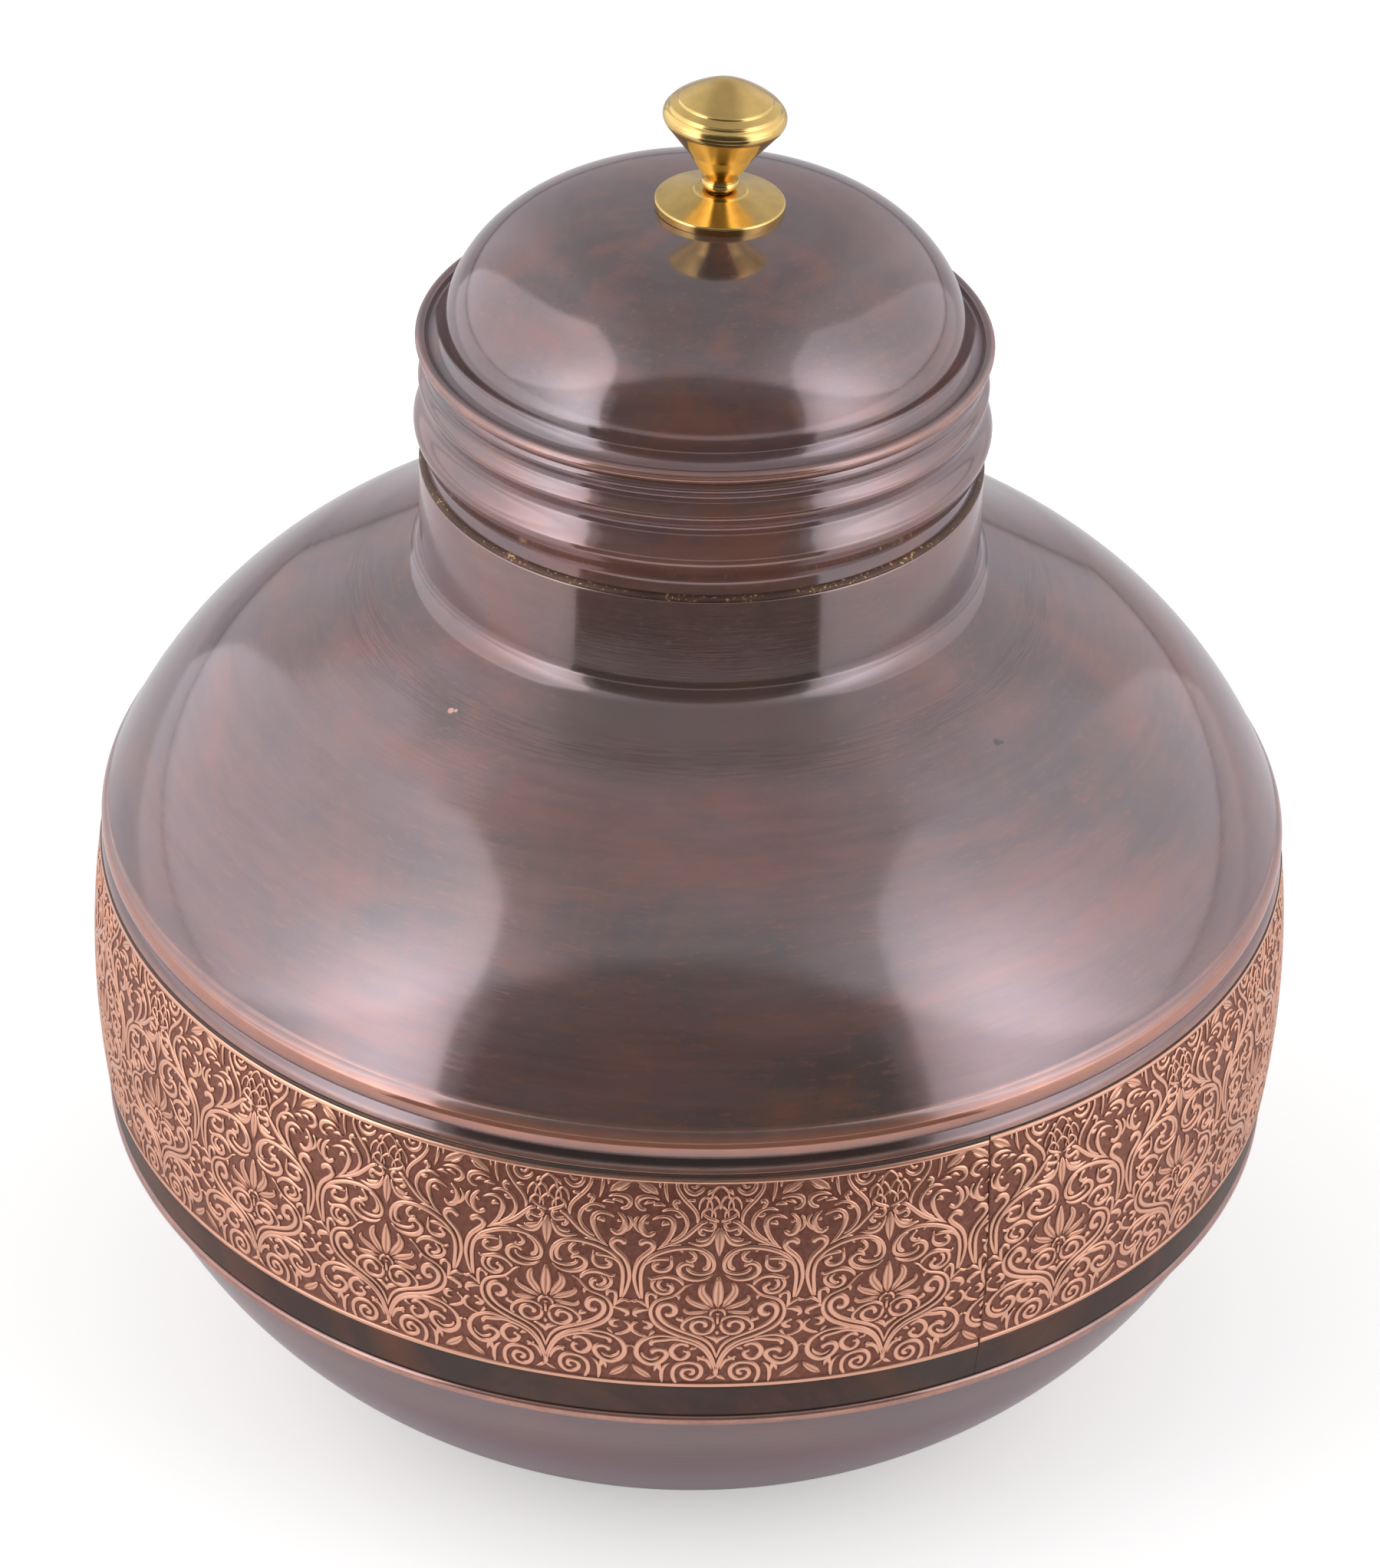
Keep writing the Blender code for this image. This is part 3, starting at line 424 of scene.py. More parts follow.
SIDE_BLOOM = [
    (0.5, 1.5, 0.5, (13.5, 20.6), (14.7, 20.6), (16, 20.1), (16.5, 19.3), (15.9, 18.6)),
    (0.6, 0.9, 0.6, (14, 13.6), (15.4, 14), (16.7, 14.9), (17, 16), (16.5, 16.9), (15.7, 17.4)),
    (0.5, 1.2, 0.7, (14.9, 17.6), (13.8, 17.4), (13.2, 16.7), (13.6, 16), (14.7, 15.8)),
    (0.8, 0.6, 0.4, (15.8, 10.2), (16.6, 10.8), (17.15, 11)),
    (0.8, 0.8, 0.8, (13.8, 20.9), (14, 22.2), (14.1, 23.6), (13.9, 24.5), (13.2, 24.8), (12.4, 24.3), (12.3, 23.4)),
    (0.6, 0.8, 0.5, (14.1, 21.4), (14.9, 22.3), (15.8, 22.8), (16.5, 22.5), (17.15, 22.6)),
]
TALL_SCROLL = [
    (0.8, 1, 0.7, (15, 23.3), (15.2, 25), (15.4, 28), (15.3, 30), (14.9, 31.5), (14, 33), (13, 34), (11.2, 35),
     (9.7, 35.6), (8, 36), (6, 36.2), (4, 35.9), (2.6, 35.2), (1.5, 34), (1, 32.5), (1.2, 31), (2.1, 30.2),
     (3.7, 29.9), (5.2, 30.2), (6.1, 30.9), (6.1, 31.6)),
    (0.6, 1, 1.3, (15.4, 23.3), (16, 25), (16.5, 27), (16.7, 28.5), (16.6, 30), (16.3, 31.5), (15.6, 33),
     (14.5, 34.2), (13.5, 35.2), (13, 36.2), (13.4, 37.1), (14.4, 37.4), (15.3, 37), (15.6, 36.2)),
    (0.8, 0.9, 0.9, (14.8, 31.6), (13.9, 32.6), (12.5, 33.2), (11, 33.4), (9.8, 33.3)),
    (0.4, 1.1, 0.9, (9.5, 34.3), (9.4, 33), (9.4, 31.8), (10.1, 30.8), (11.3, 30.4), (12.5, 30.7), (12.9, 31.5),
     (12.4, 32.2), (11.7, 32.1)),
    (0.6, 0.9, 1.1, (4, 35.4), (2.9, 34.8), (2.2, 33.8), (2, 32.6), (2.3, 31.5), (3.2, 30.9)),
    (0.7, 0.9, 0.9, (6, 35.5), (5.1, 34.8), (4.7, 34), (5, 33.3), (5.8, 33), (6.6, 33.4)),
    (0.9, 0.7, 0.4, (7.7, 35.7), (7.2, 35.1)),
    (0.4, 1.2, 0.9, (1.2, 29.9), (2.3, 29), (3.9, 28.5), (5.6, 28.6), (7.1, 29.3), (7.9, 30.4), (7.8, 31.6),
     (6.8, 32.4), (5.7, 32.3), (5, 31.6)),
    (0.7, 1.2, 0.5, (6.9, 27), (7.4, 28), (8.6, 28.9), (10.2, 29.2), (11.8, 28.8), (13.2, 28.4), (14, 28.9)),
    (0.7, 1, 1, (12.4, 28.3), (13.1, 27.4), (12.9, 26.2), (11.9, 25.2), (10.6, 24.9), (9.5, 25.4), (9.1, 26.3),
     (9.6, 27.1), (10.3, 27)),
    (0.5, 0.9, 0.6, (11, 28.3), (11.8, 27.6), (11.8, 26.6), (11, 25.9), (10.1, 25.9)),
]
UPPER_VINE = [
    (0.8, 1.1, 0.4, (2.4, 42.5), (3.6, 42), (4.6, 41), (5.8, 39.7), (7.2, 38.4), (9, 37.3), (10.8, 36.4),
     (12.3, 35.6)),
    (0.3, 0.6, 0.6, (7.6, 36.9), (8.8, 36.9), (10, 36.6)),
    (0.6, 0.9, 0.5, (9.6, 37.6), (8.3, 38.4), (7.1, 39.7), (6.5, 41.2), (6.6, 42.6), (7.3, 43.9), (8.4, 44.8),
     (9.9, 45.1), (11.5, 44.5)),
    (0.8, 1.1, 0.5, (7.4, 43.6), (8.3, 43.6), (9, 44)),
    (0.9, 0.9, 0.6, (7.9, 46.5), (8.6, 46.9), (9.1, 46.4), (8.8, 45.6), (8.3, 45)),
    (0.5, 1.2, 0.4, (11.9, 35.9), (10.8, 37), (9.9, 38.4), (9.3, 40), (9.1, 41.4), (9.5, 42.6), (10.6, 43.3),
     (12, 43.2), (13.4, 42.5)),
    (0.6, 1.1, 0.8, (9.9, 41.6), (10.8, 41.8), (11.5, 41.2)),
    (0.5, 1.4, 0.9, (14, 43.7), (14.9, 42.9), (15.5, 41.8), (15.5, 40.4), (14.9, 39.2), (13.9, 38.8), (13.1, 39.4),
     (13, 39.9)),
    (0.5, 0.9, 0.4, (16, 43.1), (16.7, 42.2), (16.8, 41), (16.2, 39.9), (15.2, 39.2)),
    (0.8, 0.7, 0.8, (14, 41.6), (14.9, 41.9)),
    (0.7, 1.2, 0.3, (14.6, 44.6), (15.8, 44.9), (16.5, 45.9), (16.2, 47), (15, 47.6), (13.4, 47.6), (12.1, 47.1)),
    (0.3, 0.8, 0.6, (10.9, 45.8), (12.1, 46.1), (13.3, 45.8)),
    (0.4, 0.7, 0.5, (12.9, 46.5), (14.1, 46.5), (15.1, 45.9)),
    (0.6, 0.8, 0.5, (13.8, 48.6), (15, 49.1), (16.2, 50.1)),
    (0.8, 0.7, 0.4, (11, 51.2), (10.9, 49.6), (10.7, 48.2), (10.3, 46.7)),
    (0.7, 0.6, 0.4, (12.1, 51.2), (12, 49.8)),
    (0.7, 0.9, 0.7, (8.6, 51.2), (8.6, 50), (8, 48.6), (7, 47.2), (5.9, 46), (4.9, 44.7), (4.4, 43.3), (4.5, 42)),
    (0.8, 0.7, 0.4, (4.9, 47.1), (5.7, 47.2), (6.7, 47)),
    (0.6, 1, 0.8, (3.2, 50.2), (3.9, 49.2), (5.1, 48.6), (6.3, 49), (7, 50), (7, 51.2)),
    (0.6, 0.6, 0.6, (4.2, 50.9), (5, 50.1), (5.9, 50.4)),
    (0.5, 0.8, 0.4, (1.4, 49.6), (2, 49.2), (2.6, 48.4)),
    (0.7, 0.8, 0.4, (0.2, 42.3), (1.1, 42.7), (2.3, 43.2), (3.1, 43.8), (3.4, 44.4)),
    (0.6, 0.9, 0.9, (2.2, 42.3), (1.2, 42.1), (1, 41.2), (1.6, 40.5), (2.6, 40.6), (3.5, 40.9), (4, 40.2),
     (3.6, 39.5), (2.8, 39.4)),
    (0.5, 1.4, 0.4, (0.9, 40.4), (1.3, 39), (2.2, 37.6), (3.6, 37), (5, 37.2), (6.2, 37.5)),
    (0.5, 1.2, 0.4, (1.9, 38.9), (2.9, 38.2), (4.2, 38), (4.7, 38.4)),
]
LEAVES = [
    (0.4, 1.7, 0.3, (12.9, 2.5), (14.1, 3.3), (15.6, 4.5), (16.8, 6)),
    (0.5, 2.3, 0.3, (0, 21.6), (0, 23.6), (0, 26.3), (0, 29.3)),
    (0.5, 1.9, 0.3, (1, 21.7), (2, 23.2), (3.1, 24.9), (3.3, 26.4), (2.6, 27.8)),
    (0.4, 1.5, 0.4, (1.5, 21.2), (3.3, 22), (5, 22.8), (6, 23.7), (5.8, 24.7)),
    (0.4, 1.2, 0.5, (1.9, 20.5), (3.8, 20.4), (5.6, 20.2), (6.5, 20.6), (6.8, 21.5)),
    (0.3, 1.6, 0.8, (12.3, 48.3), (13.7, 49.4), (15.3, 50.4), (17, 51.2)),
    (0.4, 2.1, 0.5, (0, 41.1), (0, 39.2), (0, 36.6), (0, 34.3)),
]
# Thistle scales: the foot of an arch outline, its height and its half width
SCALES = [
    (0, 43.3, 2.6, 1.7), (1.35, 45.2, 2.9, 1.3), (0, 47.6, 2.8, 1.7), (2.9, 45.1, 2.8, 1.3), (2.3, 43.2, 2.2, 1.4),
]

# A stroke's rows lie one for each of these lengths in millimetres and turns in degrees
ROW_LENGTH, ROW_TURN = 1.5, 26

# A stroke's section from side to side: place in shares of its half width, a sideways reach in millimetres, and
# relief
SECTION_SIDE = np.array([1, 0.97, 0.5, 0, -0.5, -0.97, -1])
SECTION_SKIRT = np.array([0.2, 0, 0, 0, 0, 0, -0.2])
CROWNED, FURROWED = (np.array([-0.25, 0.5, 1.0, middle, 1.0, 0.5, -0.25]) for middle in (0.92, 0.5))


def arch(centre, foot, height, half):
    """A pointed arch as a stroke: up one side, over the point and down the other."""
    sides = [(-1, 0), (-0.85, 0.55), (0, 1), (0.85, 0.55), (1, 0)]
    return (0.4, 0.5, 0.4, *[(centre + half * x, foot + height * y) for x, y in sides])


def smooth_path(points):
    """A smooth curve through the points, the distances along it, and the distances at which a stroke has its rows.

    Each span is the cubic whose end slopes are half the step between its neighbours. The rows lie at equal steps of
    length over the row length plus turning over the row turn, so they are closer where it bends."""
    knots = np.array(points, float)
    padded = np.vstack([2 * knots[0] - knots[1], knots, 2 * knots[-1] - knots[-2]])
    before, start, end, after = padded[:-3], padded[1:-2], padded[2:-1], padded[3:]
    t = np.linspace(0, 1, 16, endpoint=False)[None, :, None]
    slope_in, slope_out = (end - before)[:, None] / 2, (after - start)[:, None] / 2
    start, end = start[:, None], end[:, None]
    curve = start * (2 * t**3 - 3 * t**2 + 1) + end * (3 * t**2 - 2 * t**3)
    curve = curve + slope_in * (t**3 - 2 * t**2 + t) + slope_out * (t**3 - t**2)
    curve = np.vstack([curve.reshape(-1, 2), knots[-1:]])
    run = np.diff(curve, axis=0)
    length = np.linalg.norm(run, axis=1)
    heading = np.unwrap(np.arctan2(run[:, 1], run[:, 0]))
    turning = np.abs(np.diff(heading, append=heading[-1]))
    cost = np.concatenate([[0], np.cumsum(length / ROW_LENGTH + turning / math.radians(ROW_TURN))])
    distance = np.concatenate([[0], np.cumsum(length)])
    wanted = np.interp(np.linspace(0, cost[-1], max(3, int(cost[-1]) + 2)), cost, distance)
    return curve, distance, wanted


def ribbon(widths, points, leaf):
    """One stroke as a closed bar in the strip's plane: (across, up, relief) points, its faces and its two caps.

    Its section has a skirt that sinks into the ground, a steep side, and a crowned or furrowed top. A stroke's
    width runs straight from the start's through the middle's to the end's, and a leaf's swells by a sine. Both
    ends round off."""
    curve, distance, wanted = smooth_path(points)
    total = distance[-1]
    first, last = widths[0] / 2, widths[2] / 2
    tips = [0, first * 0.35, total - last * 0.35, total]
    inner = wanted[(wanted > first * 0.9) & (wanted < total - last * 0.9)]
    at = np.unique(np.concatenate([tips, inner]))
    step, least_half = 0.08, 0.08
    place, ahead, back = (
        np.column_stack([np.interp(where, distance, curve[:, i]) for i in (0, 1)])
        for where in (at, np.minimum(at + step, total), np.maximum(at - step, 0))
    )
    way = (ahead - back) / np.linalg.norm(ahead - back, axis=1, keepdims=True)
    share = at / total
    if leaf:
        half = first + (widths[1] - widths[0]) / 2 * np.sin(np.pi * share ** (1 / 1.3)) ** 0.9
    else:
        half = np.interp(share, [0, 0.5, 1], np.array(widths) / 2)
    near = np.minimum(at / max(first, 0.1), (total - at) / max(last, 0.1))
    round_off = np.sqrt(np.clip(1 - (1 - np.clip(near, 0, 1)) ** 2, 0.12, 1))
    half = np.maximum(half * round_off, least_half)
    offset = SECTION_SIDE * half[:, None] + SECTION_SKIRT
    square = np.column_stack([-way[:, 1], way[:, 0]])
    flat = place[:, None] + square[:, None] * offset[..., None]
    lift = FURROWED if leaf else CROWNED
    relief = lift * np.where(lift > 0, 0.35 + 0.65 * round_off[:, None], 1)
    bars = np.concatenate([flat, relief[..., None]], axis=-1).reshape(-1, 3)
    rows, across = len(at), len(SECTION_SIDE)
    faces = grid_faces(rows, across, False, True)
    caps = np.vstack([np.arange(across)[::-1], np.arange(across) + (rows - 1) * across])
    return bars, faces[:, ::-1], caps[:, ::-1]


def one_repeat():
    """All strokes of one repeat, both halves: points, four-cornered faces, caps, and each point's stroke number."""
    lines = HEART + SIDE_SCROLL + FOOT + INNER_SCROLL + SIDE_BLOOM + TALL_SCROLL + UPPER_VINE
    lines += [arch(*scale) for scale in SCALES]
    bars, quads, caps, owner = [], [], [], []
    count = 0
    for leaf, group in ((False, lines), (True, LEAVES)):
        for start, middle, end, *points in group:
            shape, faces, ends = ribbon((start, middle, end), points, leaf)
            on_axis = abs(sum(x for x, _ in points)) < 1e-6
            for side in (1,) if on_axis else (1, -1):
                bars.append(shape * np.array([side, 1.0, 1.0]))
                quads.append(faces[:, ::side] + count)
                caps.append(ends[:, ::side] + count)
                owner.append(np.full(len(shape), len(owner)))
                count += len(shape)
    return np.vstack(bars), np.vstack(quads), np.vstack(caps), np.concatenate(owner)


def strip_azimuth(place):
    """The azimuth in degrees, from the front towards the right, of a place counted in repeats from the seam's
    right side: even repeats, and a drift by half a sine along the strip."""
    return FIRST_REPEAT + REPEAT_TURN * place + REPEAT_DRIFT * np.sin(np.pi * place / REPEATS)


def strip_drift(azimuth):
    """How far the strip has risen at an azimuth: the full drift just right of the seam, none when it comes
    round again."""
    return SEAM_DRIFT * (1 - (azimuth - SEAM_AZIMUTH) / 360)


def on_band(azimuth, height, sink):
    """Points in metres on the band's barrel at an azimuth and height, sunk below its face."""
    turn = np.radians(azimuth)
    radius = band_radius(height) - sink
    return np.stack([radius * np.sin(turn), -radius * np.cos(turn), height], axis=-1) * MM


class PotPatternSettings(bpy.types.PropertyGroup):
    relief: bpy.props.FloatProperty(
        name="Relief Depth",
        description="How far the etched ground lies below the band's face",
        default=0.00028, min=0.00005, max=0.0005, precision=5, subtype="DISTANCE", unit="LENGTH",
    )
    repeats_per_piece: bpy.props.IntProperty(
        name="Repeats per Piece",
        description="How many repeats of the pattern one mesh holds",
        default=4, min=1, max=4,
    )
    turn_steps: bpy.props.IntProperty(
        name="Turning Steps",
        description="How many steps the large turned surfaces have round the axis",
        default=360, min=64, max=720,
    )


def colour_setting(name, description, default):
    """A linear colour that the sidebar shows as a swatch."""
    return bpy.props.FloatVectorProperty(
        name=name, description=description, default=default, size=3, min=0.0, max=1.0, subtype="COLOR"
    )


class PotFinishSettings(bpy.types.PropertyGroup):
    patina: colour_setting("Patina", "Plum-brown of the aged copper", (0.165, 0.095, 0.088))
    patina_deep: colour_setting("Deep Patina", "Darkest patches of the aged copper", (0.100, 0.076, 0.068))
    patina_red: colour_setting("Red Patina", "Red-brown patches and smears of showing copper", (0.290, 0.105, 0.058))
    rubbed: colour_setting("Rubbed Copper", "Copper on beads, ribs and rims", (0.620, 0.300, 0.210))
    bare: colour_setting("Bare Copper", "Copper inside the pot", (0.780, 0.430, 0.310))
    relief_top: colour_setting("Relief Copper", "Raised lines of the etched pattern", (0.930, 0.500, 0.360))
    relief_ground: colour_setting("Etched Ground", "Darkened ground of the etched pattern", (0.235, 0.090, 0.068))
    brass: colour_setting("Brass", "Knob and rosette", (0.800, 0.545, 0.200))
    braze: colour_setting("Brazing Alloy", "Joints of the sheets", (0.620, 0.430, 0.200))
    steel: colour_setting("Steel", "Screw and washer inside the lid", (0.560, 0.560, 0.550))


class PotStageSettings(bpy.types.PropertyGroup):
    floor: colour_setting("Floor", "Colour of the plain floor", (0.86, 0.86, 0.86))
    floor_glow: bpy.props.FloatProperty(
        name="Floor Glow",
        description="Light that the floor adds for the camera and in reflections, so that it reads as white",
        default=0.42, min=0.0, max=1.0,
    )
    side_level: bpy.props.FloatProperty(
        name="Side Lamps",
        description="Brightness of the two side walls of light, where 1 shows a white surface as white",
        default=0.60, min=0.0, max=10.0,
    )


class Sketch:
    """Adds nodes to one tree: sockets are linked and plain values are set."""

    def __init__(self, tree):
        self.tree = tree

    def add(self, kind, inputs=None, **settings):
        node = self.tree.nodes.new(kind)
        for key, value in settings.items():
            setattr(node, key, value)
        self.fill(node.inputs, inputs or {})
        return node

    def fill(self, sockets, values):
        """Links or sets sockets, given by name or number."""
        for key, value in values.items():
            if isinstance(value, bpy.types.NodeSocket):
                self.tree.links.new(value, sockets[key])
            else:
                sockets[key].default_value = value

    def group(self, tree, inputs):
        return self.add("ShaderNodeGroup", inputs, node_tree=tree).outputs

    def mix(self, factor, first, second, blend="MIX"):
        inputs = {0: factor, 6: first, 7: second}
        return self.add("ShaderNodeMix", inputs, data_type="RGBA", blend_type=blend).outputs[2]

    def math(self, operation, *values, clamp=False):
        """Takes the values together two by two, in their order."""

        def pair(first, second):
            node = self.add("ShaderNodeMath", {0: first, 1: second}, operation=operation, use_clamp=clamp)
            return node.outputs[0]

        return functools.reduce(pair, values)

    def plus(self, *values):
        return self.math("ADD", *values)

    def times(self, *values):
        return self.math("MULTIPLY", *values)

    def away(self, value, centre):
        """How far a value is from a centre."""
        return self.math("ABSOLUTE", self.math("SUBTRACT", value, centre), 0.0)

    def ramp(self, value, low, high, to_low=0.0, to_high=1.0):
        """A value brought from one span to another, and held at its ends."""
        inputs = {"Value": value, "From Min": low, "From Max": high, "To Min": to_low, "To Max": to_high}
        return self.add("ShaderNodeMapRange", inputs).outputs["Result"]

    def toned(self, colour, value):
        """A colour made lighter or darker by a value about one."""
        tone = self.add("ShaderNodeCombineColor", {0: value, 1: value, 2: value}).outputs[0]
        return self.mix(1.0, colour, tone, "MULTIPLY")

    def noise(self, vector, scale, detail=3.0, roughness=0.5, distortion=0.0):
        inputs = {"Vector": vector, "Scale": scale, "Detail": detail, "Roughness": roughness}
        return self.add("ShaderNodeTexNoise", {**inputs, "Distortion": distortion}).outputs["Fac"]

    def attribute(self, name, output="Fac"):
        return self.add("ShaderNodeAttribute", attribute_name=name).outputs[output]

    def place(self, space="Object"):
        return self.add("ShaderNodeTexCoord").outputs[space]

    def split(self, vector):
        return self.add("ShaderNodeSeparateXYZ", {0: vector}).outputs

    def stretched(self, vector, scale):
        return self.add("ShaderNodeMapping", {"Vector": vector, "Scale": scale}).outputs["Vector"]

    def bump(self, height, distance, strength, **normal):
        inputs = {"Height": height, "Distance": distance, "Strength": strength, **normal}
        return self.add("ShaderNodeBump", inputs).outputs["Normal"]


def rgba(colour):
    """A colour with full alpha, as the shader sockets take it."""
    return (*colour, 1.0)


def by_name(store, name):
    """For a function that builds a material or group: it builds on the first call, and later calls find that by
    its name."""

    def around(build):
        @functools.wraps(build)
        def found_or_built():
            return getattr(bpy.data, store).get(name) or build(name)

        return found_or_built

    return around


def new_group(name, inputs, outputs):
    """An empty shader group. An input's default tells its type: none for a vector, a number, or four for a
    colour."""
    tree = bpy.data.node_groups.new(name, "ShaderNodeTree")
    for label, default in inputs.items():
        kind = {type(None): "Vector", float: "Float", tuple: "Color"}[type(default)]
        socket = tree.interface.new_socket(label, in_out="INPUT", socket_type="NodeSocket" + kind)
        if default is not None:
            socket.default_value = default
    for label, kind in outputs.items():
        tree.interface.new_socket(label, in_out="OUTPUT", socket_type="NodeSocket" + kind)
    sketch = Sketch(tree)
    return sketch, sketch.add("NodeGroupInput").outputs, sketch.add("NodeGroupOutput").inputs


@by_name("node_groups", "Mottled Patina")
def mottle_group(name):
    """Patches of three colours: a broad one by a slow noise, a deep one in its hollows and a warm one in
    streaks."""
    defaults = {
        "Vector": None, "Colour": (0.2, 0.15, 0.15, 1), "Deep": (0.1, 0.08, 0.08, 1), "Warm": (0.3, 0.15, 0.1, 1),
        "Patch Scale": 14.0, "Warmth": 0.6,
    }
    sketch, given, out = new_group(name, defaults, {"Colour": "Color"})
    place, scale = given["Vector"], given["Patch Scale"]
    broad = sketch.noise(place, scale, 4.0, 0.55, 0.6)
    fine = sketch.noise(place, sketch.times(scale, 6.5), 5.0, 0.6, 0.3)
    moved = sketch.add("ShaderNodeVectorMath", {0: place, 1: (0.37, 0.11, 0.23)}, operation="ADD").outputs[0]
    warm = sketch.noise(moved, sketch.times(scale, 1.3), 5.0, 0.6, 1.1)
    deep = sketch.ramp(sketch.plus(broad, sketch.times(fine, 0.35)), 0.60, 0.82)
    red = sketch.times(sketch.ramp(warm, 0.50, 0.70), given["Warmth"])
    colour = sketch.mix(red, sketch.mix(deep, given["Colour"], given["Deep"]), given["Warm"])
    sketch.fill(out, {"Colour": sketch.toned(colour, sketch.ramp(fine, 0.3, 0.7, 0.90, 1.10))})
    return sketch.tree


@by_name("node_groups", "Turned Brushing")
def brushing_group(name):
    """Marks that run round the axis: noise read at the place round the turn and along the profile, packed close
    for fine lines, wide for streaks and short for flecks."""
    defaults = {"Sweep": None, "Lines per mm": 3.0, "Length": 6.0}
    sketch, given, out = new_group(name, defaults, {"Height": "Float", "Streaks": "Float", "Flecks": "Float"})
    across, up, along = sketch.split(given["Sweep"])
    packed = {0: sketch.times(across, given["Length"]), 1: sketch.times(up, given["Length"])}
    packed[2] = sketch.times(along, given["Lines per mm"])
    close = sketch.add("ShaderNodeCombineXYZ", packed).outputs[0]
    sketch.fill(out, {
        "Height": sketch.noise(close, 1.0, 4.0, 0.7),
        "Streaks": sketch.noise(sketch.stretched(close, (0.6, 0.6, 0.13)), 1.0, 3.0, 0.6),
        "Flecks": sketch.noise(sketch.stretched(close, (5.0, 5.0, 0.42)), 1.0, 5.0, 0.65, 0.4),
    })
    return sketch.tree


@by_name("node_groups", "Rubbed Edges")
def wear_group(name):
    """Rubbed metal where the wear mask is high, broken up by noise so that its edge is ragged."""
    defaults = {
        "Vector": None, "Wear": 0.0, "Colour": (0.2, 0.15, 0.15, 1), "Rubbed": (0.6, 0.3, 0.2, 1),
        "Break-up Scale": 120.0,
    }
    sketch, given, out = new_group(name, defaults, {"Colour": "Color", "Mask": "Float"})
    rough = sketch.noise(given["Vector"], given["Break-up Scale"], 5.0, 0.65)
    mask = sketch.math("MULTIPLY", given["Wear"], sketch.ramp(rough, 0.32, 0.68, 0.45, 1.25), clamp=True)
    sketch.fill(out, {"Colour": sketch.mix(mask, given["Colour"], given["Rubbed"]), "Mask": mask})
    return sketch.tree


def new_material(name, constants):
    """A material with one Principled shader, on which the constants are set."""
    material = bpy.data.materials.new(name)
    material.use_nodes = True
    material.node_tree.nodes.clear()
    sketch = Sketch(material.node_tree)
    shader = sketch.add("ShaderNodeBsdfPrincipled", constants)
    sketch.add("ShaderNodeOutputMaterial", {"Surface": shader.outputs["BSDF"]})
    return material, sketch, shader.inputs


def matte(name, colour):
    """A dull material of one colour, for the stage."""
    return new_material(name, {"Base Color": colour, "Roughness": 0.9, "Specular IOR Level": 0.1})


